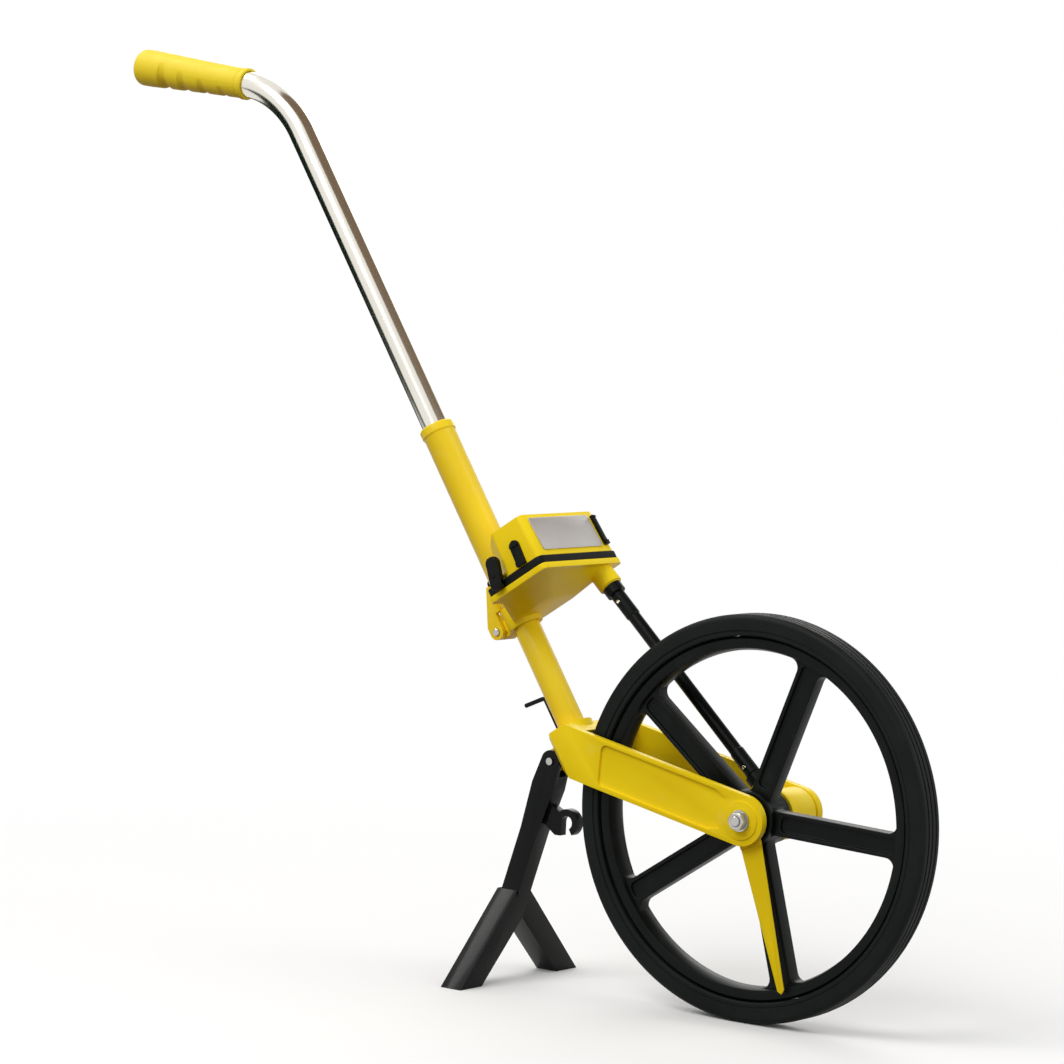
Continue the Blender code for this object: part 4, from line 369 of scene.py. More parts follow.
def rod(
    radius: float, low: float, high: float, edge: float = 0.0, sides: int = 48, top: Optional[float] = None
) -> bmesh.types.BMesh:
    """A round bar on the z axis, with its two rims eased.

    Args:
        radius: Its radius.
        low: Its lower end.
        high: Its upper end.
        edge: Width of the eased rims.
        sides: Steps round it.
        top: Its radius at the upper end, where it is a cone.

    Returns:
        The bar.
    """
    end = radius if top is None else top
    if edge <= 0:
        return turned([(0, low), (radius, low), (end, high), (0, high)], sides)
    lower = [(radius - edge, low), (radius - edge * 0.3, low + edge * 0.3), (radius, low + edge)]
    upper = [(end, high - edge), (end - edge * 0.3, high - edge * 0.3), (end - edge, high)]
    return turned([(0, low)] + lower + upper + [(0, high)], sides)


class Solid:
    """A closed mesh that is cut, joined and rounded, and then made plain."""

    def __init__(self, name: str, made: bmesh.types.BMesh, place: Matrix = Matrix.Identity(4)) -> None:
        """Puts the shape in its place, which goes into the mesh."""
        mesh = bpy.data.meshes.new(name)
        made.transform(place)
        made.to_mesh(mesh)
        made.free()
        self.thing = bpy.data.objects.new(name, mesh)
        bpy.context.scene.collection.objects.link(self.thing)
        self.tools: list[bpy.types.Object] = []

    def worked(self, operation: str, tools: Iterable["Solid"]) -> "Solid":
        """Adds a Boolean for each tool."""
        for tool in tools:
            modifier = self.thing.modifiers.new(operation.lower(), "BOOLEAN")
            modifier.operation = operation
            modifier.object = tool.plain()
            modifier.solver = "EXACT"
            self.tools.append(tool.thing)
        return self

    def cut(self, *tools: "Solid") -> "Solid":
        """Cuts tools away."""
        return self.worked("DIFFERENCE", tools)

    def join(self, *tools: "Solid") -> "Solid":
        """Joins tools on."""
        return self.worked("UNION", tools)

    def eased(self, width: float, segments: int = 3, angle: float = 32.0) -> "Solid":
        """Rounds the edges that are sharper than an angle in degrees."""
        flat = self.thing.modifiers.new("flat_faces", "DECIMATE")
        flat.decimate_type = "DISSOLVE"
        flat.angle_limit = math.radians(0.5)
        weld = self.thing.modifiers.new("merged_points", "WELD")
        weld.merge_threshold = 0.02 * MM
        bevel = self.thing.modifiers.new("rounded_edges", "BEVEL")
        bevel.width = width
        bevel.segments = segments
        bevel.limit_method = "ANGLE"
        bevel.angle_limit = math.radians(angle)
        bevel.miter_outer = "MITER_ARC"
        bevel.use_clamp_overlap = True
        return self

    def plain(self) -> bpy.types.Object:
        """Applies everything and removes the tools.

        Returns:
            The object, with a plain mesh and no modifiers.
        """
        if not self.thing.modifiers:
            return self.thing
        graph = bpy.context.evaluated_depsgraph_get()
        mesh = bpy.data.meshes.new_from_object(self.thing.evaluated_get(graph))
        self.thing.modifiers.clear()
        self.thing.data = mesh
        for tool in self.tools:
            bpy.data.objects.remove(tool, do_unlink=True)
        self.tools.clear()
        return self.thing


# Geometry Nodes


class Nodes:
    """A Geometry Nodes tree with named inputs."""

    def __init__(self, name: str, inputs: dict[str, str]) -> None:
        """Makes the tree with the given inputs, by name and socket type, and a Finish."""
        self.tree = bpy.data.node_groups.new(name, "GeometryNodeTree")
        self.net = Net(self.tree)
        face = self.tree.interface
        face.new_socket("Geometry", in_out="INPUT", socket_type="NodeSocketGeometry")
        self.keys = {}
        for label, kind in {**inputs, "Finish": "NodeSocketMaterial"}.items():
            self.keys[label] = face.new_socket(label, in_out="INPUT", socket_type=kind).identifier
        face.new_socket("Geometry", in_out="OUTPUT", socket_type="NodeSocketGeometry")
        self.start = self.tree.nodes.new("NodeGroupInput")
        self.end = self.tree.nodes.new("NodeGroupOutput")

    def given(self, label: str) -> Wire:
        """A wire from one of the tree's inputs."""
        return Wire(self.net, self.start.outputs[label])

    def close(self, shape: Wire) -> None:
        """Ends the tree with real geometry in its finish."""
        real = self.net.add("GeometryNodeRealizeInstances", {}, {0: shape}, 0)
        inputs = {0: real, "Material": self.given("Finish")}
        done = self.net.add("GeometryNodeSetMaterial", {}, inputs, 0)
        self.tree.links.new(done.socket, self.end.inputs[0])

    def grow(self, name: str, mesh: bpy.types.Mesh, place: Matrix, values: dict) -> Solid:
        """Runs the tree on a mesh.

        Args:
            name: Name of the piece.
            mesh: What the tree starts from.
            place: Where the result goes, which goes into its mesh.
            values: The inputs by name.

        Returns:
            The result as a plain mesh.
        """
        holder = bpy.data.objects.new(name + "_rule", mesh)
        bpy.context.scene.collection.objects.link(holder)
        modifier = holder.modifiers.new("rule", "NODES")
        modifier.node_group = self.tree
        for label, value in values.items():
            modifier[self.keys[label]] = value
        graph = bpy.context.evaluated_depsgraph_get()
        grown = bpy.data.meshes.new_from_object(holder.evaluated_get(graph))
        bpy.data.objects.remove(holder, do_unlink=True)
        made = bmesh.new()
        made.from_mesh(grown)
        bpy.data.meshes.remove(grown)
        bmesh.ops.remove_doubles(made, verts=made.verts, dist=MM * MM)
        return Solid(name, made, place)


def ring_rule() -> Nodes:
    """Copies of an item round the z axis: the tree's inputs are Item, Count, Radius and Turn."""
    inputs = {"Item": "NodeSocketObject", "Count": "NodeSocketInt", "Radius": "NodeSocketFloat"}
    rule = Nodes("copies_round_an_axis", {**inputs, "Turn": "NodeSocketFloat"})
    net = rule.net
    index = net.add("GeometryNodeInputIndex", {}, {}, 0)
    share = net.add("ShaderNodeMath", {"operation": "DIVIDE"}, {0: index, 1: rule.given("Count")}, 0)
    angle = share * FULL_TURN + rule.given("Turn")
    turn = net.add("ShaderNodeCombineXYZ", {}, {"Z": angle}, 0)
    along = net.add("ShaderNodeCombineXYZ", {}, {"X": rule.given("Radius")}, 0)
    settings = {"rotation_type": "EULER_XYZ"}
    spot = net.add("ShaderNodeVectorRotate", settings, {"Vector": along, "Rotation": turn}, 0)
    points = net.add("GeometryNodePoints", {}, {"Count": rule.given("Count"), "Position": spot}, 0)
    item = net.add("GeometryNodeObjectInfo", {}, {0: rule.given("Item")}, "Geometry")
    copies = {"Points": points, "Instance": item, "Rotation": turn}
    rule.close(net.add("GeometryNodeInstanceOnPoints", {}, copies, 0))
    return rule


def bar_rule() -> Nodes:
    """A round bar along a line: the tree's inputs are Thickness and Sides."""
    rule = Nodes("round_bar_on_a_line", {"Thickness": "NodeSocketFloat", "Sides": "NodeSocketInt"})
    net = rule.net
    line = net.add("GeometryNodeMeshToCurve", {}, {0: rule.given("Geometry")}, 0)
    half = rule.given("Thickness") * 0.5
    inputs = {"Resolution": rule.given("Sides"), "Radius": half}
    section = net.add("GeometryNodeCurvePrimitiveCircle", {"mode": "RADIUS"}, inputs, 0)
    inputs = {"Curve": line, "Profile Curve": section, "Fill Caps": True}
    rule.close(net.add("GeometryNodeCurveToMesh", {}, inputs, 0))
    return rule


class Repeater:
    """Runs the two trees that this object needs."""

    def __init__(self) -> None:
        """Makes the trees."""
        self.ring = ring_rule()
        self.bar = bar_rule()

    def round_axis(
        self, name: str, item: Solid, count: int, radius: float, turn: float, place: Matrix, finish: Finish
    ) -> Solid:
        """Copies an item round the z axis of a place.

        Args:
            name: Name of the piece.
            item: The item, made in the place's own frame at radius zero.
            count: How many copies.
            radius: How far out they stand.
            turn: Angle of the first.
            place: The frame whose z axis they stand round.
            finish: Their finish.

        Returns:
            All the copies in one plain mesh.
        """
        start = bpy.data.meshes.new(name + "_start")
        values = {"Item": item.plain(), "Count": count, "Radius": radius, "Turn": turn}
        made = self.ring.grow(name, start, place, {**values, "Finish": finish.material()})
        bpy.data.objects.remove(item.thing, do_unlink=True)
        return made

    def bar_on(
        self, name: str, points: Sequence[Sequence[float]], radius: float, sides: int, place: Matrix,
        finish: Finish,
    ) -> Solid:
        """Makes a round bar along points.

        Args:
            name: Name of the piece.
            points: Its middle line.
            radius: Its radius.
            sides: Steps round it.
            place: The frame that the points are in.
            finish: Its finish.

        Returns:
            The bar.
        """
        line = bpy.data.meshes.new(name + "_line")
        line.from_pydata([tuple(p) for p in points], [(i, i + 1) for i in range(len(points) - 1)], [])
        values = {"Thickness": 2 * radius, "Sides": sides, "Finish": finish.material()}
        return self.bar.grow(name, line, place, values)


# Dressing


def move(x: float = 0.0, y: float = 0.0, z: float = 0.0) -> Matrix:
    """A move."""
    return Matrix.Translation((x, y, z))


def spin(degrees: float, axis: str) -> Matrix:
    """A turn about a named axis."""
    return Matrix.Rotation(math.radians(degrees), 4, axis)


def dress(
    made: Solid, body: str, finish: Finish, stands_for: Sequence[str] = (), smooth: float = SMOOTH_UNDER
) -> bpy.types.Object:
    """Finishes a new piece and ties it to its CAD body.

    Args:
        made: The shape.
        body: The CAD body that it moves with.
        finish: Its finish.
        stands_for: The CAD nodes that it stands for.
        smooth: Edges flatter than this, in degrees, are shaded smooth.

    Returns:
        The finished object.
    """
    thing = made.plain()
    thing.data.materials.clear()
    thing.data.materials.append(finish.material())
    thing.data.shade_smooth()
    thing.data.set_sharp_from_angle(angle=math.radians(smooth))
    if stands_for:
        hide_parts(*stands_for)
    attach(thing, body)
    LOG.info("%s: %d faces, on %s, in %s", thing.name, len(thing.data.polygons), body, finish.name)
    return thing


def carry_over(finish: Finish, *nodes: str) -> None:
    """Gives CAD nodes that are shown as they are their finish."""
    for name in nodes:
        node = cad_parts[name]
        node.data.materials.clear()
        node.data.materials.append(finish.material())
        node.data.shade_smooth()
        node.data.set_sharp_from_angle(angle=math.radians(SMOOTH_UNDER))
        LOG.info("%s: kept from the CAD, in %s", name, finish.name)


# Frames

AXLE = move(z=AXLE_HEIGHT) @ spin(-90, "X")
SIDE = move(z=AXLE_HEIGHT) @ spin(90, "X")
COLUMN = move(-COLUMN_BACK, COLUMN_LEFT, AXLE_HEIGHT) @ Matrix.Rotation(-COLUMN_LEAN, 4, "Y")
COLUMN_SIDE = COLUMN @ spin(90, "X")
LEVER_SHAFT = COLUMN @ move(x=30 * MM, z=184 * MM) @ spin(90, "X")


def column_point(forward: float, up: float) -> Point:
    """Where a place on the column's frame lies, as x and height over the axle."""
    sine = math.sin(COLUMN_LEAN)
    cosine = math.cos(COLUMN_LEAN)
    return -COLUMN_BACK + forward * cosine - up * sine, forward * sine + up * cosine


# Wheel


@dataclass
class Wheel:
    """The tyre and the moulding with its rim, five ribbed spokes and hub."""

    tools: Repeater
    tyre_inner: float = WHEEL_RADIUS - 17 * MM
    tyre_half: float = 13 * MM
    tread_half: float = 8 * MM
    shoulder: float = 5 * MM
    groove: float = 1.0 * MM
    groove_half: float = 0.5 * MM
    groove_slope: float = 0.4 * MM
    groove_apart: float = 5.2 * MM
    rim_half: float = 10 * MM
    rim_depth: float = 9.5 * MM
    spokes: int = 5
    spoke_start: float = math.radians(-2.6)
    spoke_half: float = 9.5 * MM
    spoke_thick: float = 6.5 * MM
    spoke_flange: float = 3.4 * MM
    spoke_recess: float = 3.2 * MM
    hub_flare: float = 6 * MM
    rim_flare: float = 7.5 * MM
    hub_radius: float = 22 * MM
    hub_right: float = 12 * MM
    hub_left: float = 20 * MM
    bearing: float = 9.8 * MM

    def tyre_section(self) -> list[Point]:
        """The tyre's section, with three grooves round the tread and a bead line on each side."""
        r = AXLE_HEIGHT
        inner = self.tyre_inner
        top = self.groove_half + self.groove_slope
        side = [
            (inner, 11.6 * MM), (inner + 0.8 * MM, 12.4 * MM), (inner + 3.2 * MM, 12.5 * MM),
            (inner + 3.6 * MM, 12.1 * MM), (inner + 4.1 * MM, 12.1 * MM), (inner + 4.6 * MM, self.tyre_half),
        ]
        side += arc((r - self.shoulder, self.tread_half), self.shoulder, math.pi / 2, 0, 8)
        for middle in (self.groove_apart, 0.0):
            side += [(r, middle + top), (r - self.groove, middle + self.groove_half)]
            if middle > 0:
                side += [(r - self.groove, middle - self.groove_half), (r, middle - top)]
        return side + [(x, -z) for x, z in reversed(side)]

    def spoke_side(self) -> list[Point]:
        """One side of a spoke from hub to rim, flared into both with rounded corners."""
        rim = self.tyre_inner - FIT - self.rim_depth - 1 * MM
        half = self.spoke_half
        made = []
        for reach, flare, way in ((self.hub_radius, self.hub_flare, 1), (rim, self.rim_flare, -1)):
            out = reach + way * flare
            middle = math.sqrt(out ** 2 - (half + flare) ** 2)
            turn = math.atan2(half + flare, middle)
            inside = reach - way * 3 * MM
            start, end = (turn - math.pi, -math.pi / 2) if way > 0 else (-math.pi / 2, turn)
            bend = arc((middle, half + flare), flare, start, end, 7)
            corner = (inside * math.cos(turn), inside * math.sin(turn))
            made += [corner] + bend if way > 0 else bend + [corner]
        return made

    def spoke(self) -> Solid:
        """A spoke along x, recessed on both sides so that its two edges stand as ribs.

        Returns:
            The spoke.
        """
        thick = self.spoke_thick
        side = self.spoke_side()
        outline = side + [(x, -y) for x, y in reversed(side)]
        body = Solid("spoke", plate(outline, -thick, thick))
        start = self.hub_radius + 5 * MM
        end = self.tyre_inner - FIT - self.rim_depth - 2.5 * MM
        inset = self.spoke_half - self.spoke_flange
        recess = rounded_box((start, -inset), (end, inset), 4 * MM)
        for low in (-thick - OVERRUN, thick - self.spoke_recess):
            body.cut(Solid("recess", plate(recess, low, low + self.spoke_recess + OVERRUN)))
        return body.eased(0.9 * MM, 3, 30)

    def moulding(self) -> Solid:
        """The moulded wheel: rim, five spokes and hub.

        Returns:
            The moulding.
        """
        rim_outer = self.tyre_inner - FIT
        rim_inner = rim_outer - self.rim_depth
        half = self.rim_half
        lip = 2 * MM
        side = [
            (rim_inner, half - 1.2 * MM), (rim_inner + 0.4 * MM, half - 0.4 * MM),
            (rim_inner + 1.2 * MM, half), (rim_outer - lip, half), (rim_outer, half - lip),
        ]
        crown = [(rim_inner - 1.6 * MM, -3 * MM), (rim_inner - 1.6 * MM, 3 * MM)]
        section = side + [(r, -z) for r, z in reversed(side)] + crown
        body = Solid("ribbed_wheel", turned(section, 160), AXLE)
        spokes = self.tools.round_axis(
            "spokes", self.spoke(), self.spokes, 0.0, -self.spoke_start, AXLE, BLACK_MOULDED
        )
        body.join(Solid("hub", self.hub_shape(), AXLE), spokes)
        bore = rod(self.bearing, -self.hub_right - OVERRUN, self.hub_left + OVERRUN)
        return body.cut(Solid("hub_bore", bore, AXLE))

    def hub_shape(self) -> bmesh.types.BMesh:
        """The hub's barrel, with a dished right face and a stepped left end."""
        r = self.hub_radius
        right = -self.hub_right
        left = self.hub_left
        return turned([
            (0, right + 1.5 * MM), (12.5 * MM, right + 1.5 * MM), (12.5 * MM, right), (13.8 * MM, right),
            (14.6 * MM, right + 2.5 * MM), (r - 3.6 * MM, right + 2.5 * MM), (r - 2.8 * MM, right),
            (r - 1 * MM, right), (r, right + 1 * MM), (r, left - 5 * MM), (r - 2 * MM, left - 4 * MM),
            (r - 2 * MM, left - 0.8 * MM), (r - 2.8 * MM, left), (0, left),
        ], 96)

    def build(self) -> None:
        """Makes and dresses the pieces that turn with the wheel."""
        dress(Solid("grooved_tyre", turned(self.tyre_section(), 240), AXLE), "wheel", RUBBER, ["tyre"], 28)
        dress(self.moulding(), "wheel", BLACK_MOULDED, ["wheel_moulding"])
        carry_over(STEEL, "hub_bearing_left", "hub_bearing_right", "hub_gear")


# Fork


@dataclass
class Fork:
    """The cast fork with its axle, nuts and pointer."""

    rise: float = math.radians(11.8)
    leg: float = 20 * MM
    right_inner: float = 15.6 * MM
    right_outer: float = 21.6 * MM
    left_inner: float = 58 * MM
    left_outer: float = 65 * MM
    wheel_room: float = WHEEL_RADIUS + 4 * MM
    yoke_back: float = 18 * MM
    yoke_top: float = 60 * MM
    corner_back: float = 12.5 * MM
    corner_side: float = 15.6 * MM
    socket_floor: float = 42 * MM
    tube: float = 11.3 * MM
    boss: float = 15 * MM
    boss_raise: float = 0.8 * MM
    rim: float = 3.6 * MM
    recess: float = 1.9 * MM
    pivot_back: float = 28 * MM
    pivot_up: float = 45 * MM
    lug_radius: float = 9 * MM
    axle: float = 4 * MM
    threads: int = 6
    thread_pitch: float = 1.0 * MM
    thread_depth: float = 0.35 * MM
    pointer_lean: float = math.radians(17.3)
    pointer_reach: float = 137 * MM
    fold: float = 5.0
    fold_start: float = 22 * MM

    def edge(self, x: float, side: int) -> float:
        """Height of the leg's upper (1) or lower (-1) edge over the axle."""
        return -x * math.tan(self.rise) + side * self.leg / math.cos(self.rise)

    def outline(self) -> list[Point]:
        """The fork from the right, round on the axle and straight along its rear wall."""
        top = column_point(-self.yoke_back, self.yoke_top)
        lean = math.tan(COLUMN_LEAN)
        fall = -math.tan(self.rise)
        top_x = (self.edge(0, 1) - top[1] + lean * top[0]) / (lean - fall)
        low_x = (self.edge(0, -1) - top[1] - top[0] / lean) / (-1 / lean - fall)
        corners = [(low_x, self.edge(low_x, -1)), top, (top_x, self.edge(top_x, 1))]
        turn = math.pi / 2
        return corners + arc((0, 0), self.leg, turn - self.rise, -turn - self.rise, 32)

    def leg_recess(self) -> list[Point]:
        """The recess in the leg's outer face, in the leg's own frame: x back from the axle."""
        half = self.leg - self.rim
        end = self.boss + 6 * MM
        far = 141 * MM
        near = arc((0, 0), end, math.pi - 0.62, math.pi + 0.62, 10)
        neck = -end * 1.35
        outline = [(-far, half), (neck, half)] + near + [(neck, -half), (-far + 5 * MM, -half)]
        return rounded_outline(outline, 5 * MM, 5)

    def casting(self) -> Solid:
        """The fork in one casting.

        Returns:
            The casting.
        """
        body = Solid("cast_fork", plate(self.outline(), -self.left_outer, self.right_outer), SIDE)
        tools = [Solid("wheel_room", rod(self.wheel_room, -self.left_inner, self.right_inner, 0, 160), SIDE)]
        for name, side, edge in (
            ("right", -1, self.right_outer + COLUMN_LEFT), ("left", 1, self.left_outer - COLUMN_LEFT)
        ):
            back = -self.yoke_back
            corner = [
                (back - OVERRUN, side * (edge - self.corner_side)), (back, side * (edge - self.corner_side)),
                (back + self.corner_back, side * edge), (back + self.corner_back, side * (edge + OVERRUN)),
                (back - OVERRUN, side * (edge + OVERRUN)),
            ]
            wedge = plate(corner, -OVERRUN, self.yoke_top + OVERRUN)
            tools.append(Solid(f"yoke_corner_{name}", wedge, COLUMN))
        lean = SIDE @ Matrix.Rotation(-self.rise, 4, "Z")
        face = self.right_outer - self.recess
        tools.append(Solid("leg_recess", plate(self.leg_recess(), face, self.right_outer + OVERRUN), lean))
        left = plate(self.leg_recess(), -self.left_outer - OVERRUN, self.recess - self.left_outer)
        tools.append(Solid("left_leg_recess", left, lean))
        boss = rod(self.boss, self.right_outer - 1 * MM, self.right_outer + self.boss_raise)
        collar = rod(16.5 * MM, self.yoke_top - 6 * MM, self.yoke_top + 1.2 * MM)
        body.join(
            Solid("leg_boss", boss, SIDE), Solid("stand_lug", self.lug(), COLUMN_SIDE),
            Solid("tube_collar", collar, COLUMN),
        )
        body.cut(*tools)
        axle = rod(self.axle + FIT, -self.left_outer - OVERRUN, self.right_outer + OVERRUN)
        socket = rod(self.tube, self.socket_floor, self.yoke_top + 20 * MM)
        pin = rod(PIN_HOLE, -12 * MM, 12 * MM, 0, 32)
        pin_place = COLUMN @ move(x=-self.pivot_back, z=self.pivot_up) @ spin(90, "X")
        body.cut(
            Solid("axle_hole", axle, SIDE), Solid("socket", socket, COLUMN), Solid("pin_hole", pin, pin_place)
        )
        return body.eased(1.1 * MM, 3, 30)

    def lug(self) -> bmesh.types.BMesh:
        """The lug that the stand turns on, seen from the right of the column."""
        turn = math.pi / 2
        r = self.lug_radius
        root = -self.yoke_back + 0.5 * MM
        outline = arc((-self.pivot_back, self.pivot_up), r, turn, 3 * turn, 20)
        outline += [(root, self.pivot_up - r), (root, self.pivot_up + r)]
        return plate(outline, -4 * MM, 4 * MM)

    def nut(self, name: str, face: float, way: int) -> Solid:
        """A hexagon nut with turned corners, and the thread's end standing in it."""
        high = 5 * MM
        flare = 9 * MM
        hexagon = plate(arc((0, 0), 7.5 * MM, 0, FULL_TURN * 5 / 6, 5), 0, high)
        place = SIDE @ move(z=face) @ (Matrix.Identity(4) if way > 0 else spin(180, "X"))
        nut = Solid(name, hexagon, place)
        profile = [(0, -1 * MM), (flare, -1 * MM), (flare, high - 1.6 * MM), (6.2 * MM, high), (0, high)]
        nut.worked("INTERSECT", [Solid(name + "_corners", turned(profile, 64), place)])
        nut.cut(Solid(name + "_bore", rod(self.axle + FIT, -OVERRUN, high + OVERRUN, 0, 48), place))
        return nut.eased(0.25 * MM, 2, 30)

    def threaded_end(self) -> Solid:
        """The axle, with rings of thread at both ends."""
        right = self.right_outer + 9.2 * MM
        left = -self.left_outer - 8.2 * MM
        tip = 0.7 * MM
        root = self.axle - self.thread_depth
        profile = [(0, left), (self.axle - tip, left), (self.axle, left + tip)]
        for index in range(self.threads):
            z = left + 1.2 * MM + index * self.thread_pitch
            profile += [(self.axle, z), (root, z + self.thread_pitch / 2)]
        profile += [(self.axle, left + 9 * MM), (self.axle, right - 9 * MM)]
        for index in range(self.threads):
            z = right - 7.2 * MM + index * self.thread_pitch
            profile += [(root, z + self.thread_pitch / 2), (self.axle, z + self.thread_pitch)]
        profile += [(self.axle, right - tip), (self.axle - tip, right), (0, right)]
        return Solid("threaded_axle", turned(profile, 48), SIDE)

    def pointer(self) -> Solid:
        """The pointer: a tapered blade with a raised fold along its middle."""
        near = self.right_inner - FIT
        far = near - 1.6 * MM
        reach = self.pointer_reach
        place = SIDE @ Matrix.Rotation(self.pointer_lean, 4, "Z")
        outline = [(-3 * MM, 3 * MM - reach), (0, -reach), (3 * MM, 3 * MM - reach), (10 * MM, -20 * MM)]
        outline += arc((0, 0), 11 * MM, 0, math.pi, 24) + [(-10 * MM, -20 * MM)]
        blade = Solid("folded_pointer", plate(outline, far, near), place)
        hole = rod(self.axle + FIT, far - OVERRUN, near + OVERRUN)
        blade.cut(Solid("pointer_hole", hole, place))
        for turn, low, high in ((self.fold, 0.0, 14 * MM), (-self.fold, -14 * MM, 0.0)):
            slope = block((low, -reach - OVERRUN, 0), (high, -self.fold_start, 3 * MM))
            spot = place @ move(z=near) @ spin(turn, "Y")
            blade.cut(Solid("pointer_slope", slope, spot))
        return blade.eased(0.5 * MM, 3, 30)

    def build(self) -> None:
        """Makes and dresses the fork's pieces."""
        dress(self.casting(), "chassis", CAST_YELLOW, ["fork"])
        face = self.right_outer + self.boss_raise + 2 * FIT + 1.2 * MM
        dress(self.nut("chamfered_nut_right", face, 1), "chassis", STEEL, ["axle_nut_right"])
        face = -self.left_outer - 2 * FIT - 1.2 * MM
        dress(self.nut("chamfered_nut_left", face, -1), "chassis", STEEL, ["axle_nut_left"])
        dress(self.threaded_end(), "chassis", STEEL, ["axle"])
        dress(self.pointer(), "pointer", CAST_YELLOW, ["pointer"])
        carry_over(STEEL, "axle_washer_left", "axle_washer_right", "pointer_spacer", "stand_pin")


# Drive


@dataclass
class Drive:
    """The gear box on the left leg and the black rod up to the counter."""

    radius: float = 6 * MM
    start: float = 41 * MM
    end: float = 231 * MM
    sleeve: float = 24 * MM
    pin_from_end: float = 7.5 * MM
    box_radius: float = 20 * MM
    box_mouth: float = 21 * MM
    box_back: float = 57.7 * MM
    box_wall: float = 2.5 * MM
    neck: float = 9 * MM
    neck_end: float = 32 * MM
    bush: float = 6.3 * MM
    counter_forward: float = 55 * MM
    counter_up: float = 200 * MM

    def place(self) -> Matrix:
        """The drive's frame: z from the axle to the counter's drums."""
        x, z = column_point(self.counter_forward, self.counter_up)
        return move(y=GEAR_PLANE, z=AXLE_HEIGHT) @ Matrix.Rotation(math.atan2(x, z), 4, "Y")

    def long_rod(self) -> Solid:
        """The rod, a little stepped at its two sleeves, with its cross holes.

        Returns:
            The rod.
        """
        r = self.radius
        slim = r - 0.7 * MM
        low = self.start + self.sleeve
        high = self.end - self.sleeve
        profile = [
            (0, self.start), (r - 0.8 * MM, self.start), (r, self.start + 0.8 * MM), (r, low - 1.5 * MM),
            (r - 0.1 * MM, low - 0.9 * MM), (slim, low), (slim, high), (r - 0.1 * MM, high + 0.9 * MM),
            (r, high + 1.5 * MM), (r, self.end - 0.8 * MM), (r - 0.8 * MM, self.end), (0, self.end),
        ]
        body = Solid("sleeved_drive_rod", turned(profile, 64), self.place())
        for index, along in enumerate(self.pins()):
            across = self.place() @ move(z=along) @ spin(90, "X")
            body.cut(Solid(f"cross_hole_{index + 1}", rod(1.9 * MM, -9 * MM, 9 * MM, 0, 24), across))
        return body

    def pins(self) -> tuple[float, float]:
        """Where the lower and the upper cross pin stand."""
        return self.start + self.pin_from_end, self.end - self.pin_from_end

    def cross_pin(self, name: str, along: float) -> Solid:
        """A cross pin with rounded ends."""
        half = self.radius + 1.2 * MM
        place = self.place() @ move(z=along) @ spin(90, "X")
        return Solid(name, rod(1.6 * MM, -half, half, 0.5 * MM, 24), place)

    def gear_box(self) -> Solid:
        """The cast cup round the bevel gears, with a bead at its mouth and the neck for the spindle.

        Returns:
            The gear box.
        """
        r = self.box_radius
        mouth = self.box_mouth
        back = self.box_back
        profile = [
            (0, mouth), (r + 1 * MM, mouth), (r + 1 * MM, mouth + 3 * MM), (r, mouth + 4.2 * MM),
            (r, back - 3 * MM), (r - 0.9 * MM, back - 0.9 * MM), (r - 3 * MM, back), (0, back),
        ]
        body = Solid("cast_gear_box", turned(profile, 96), AXLE)
        neck = rod(self.neck, r - 8 * MM, self.neck_end, 0.8 * MM, 64)
        collar = rod(self.neck + 1.2 * MM, r - 4 * MM, r + 5 * MM, 0.6 * MM, 64)
        body.join(Solid("neck", neck, self.place()), Solid("neck_collar", collar, self.place()))
        room = rod(r - self.box_wall, mouth - OVERRUN, back - 3.5 * MM, 0, 96)
        hole = rod(4.3 * MM, mouth, back + OVERRUN, 0, 48)
        bore = rod(self.bush, 11 * MM, self.neck_end + OVERRUN, 0, 48)
        body.cut(Solid("room", room, AXLE), Solid("hole", hole, AXLE), Solid("bore", bore, self.place()))
        return body.eased(0.7 * MM, 3, 40)

    def build(self) -> None:
        """Makes and dresses the drive."""
        dress(self.long_rod(), "drive", BLACK_MOULDED, ["drive_rod"], 30)
        for name, along in zip(("lower", "upper"), self.pins()):
            dress(self.cross_pin(f"{name}_cross_pin", along), "drive", CHROME, [f"{name}_drive_pin"])
        dress(self.gear_box(), "chassis", CAST_YELLOW, ["gear_box"])
        carry_over(STEEL, "lower_pinion", "upper_pinion", "lower_spindle", "upper_spindle")
        carry_over(BLACK_MOULDED, "lower_bush", "upper_bush")


# Counter housing


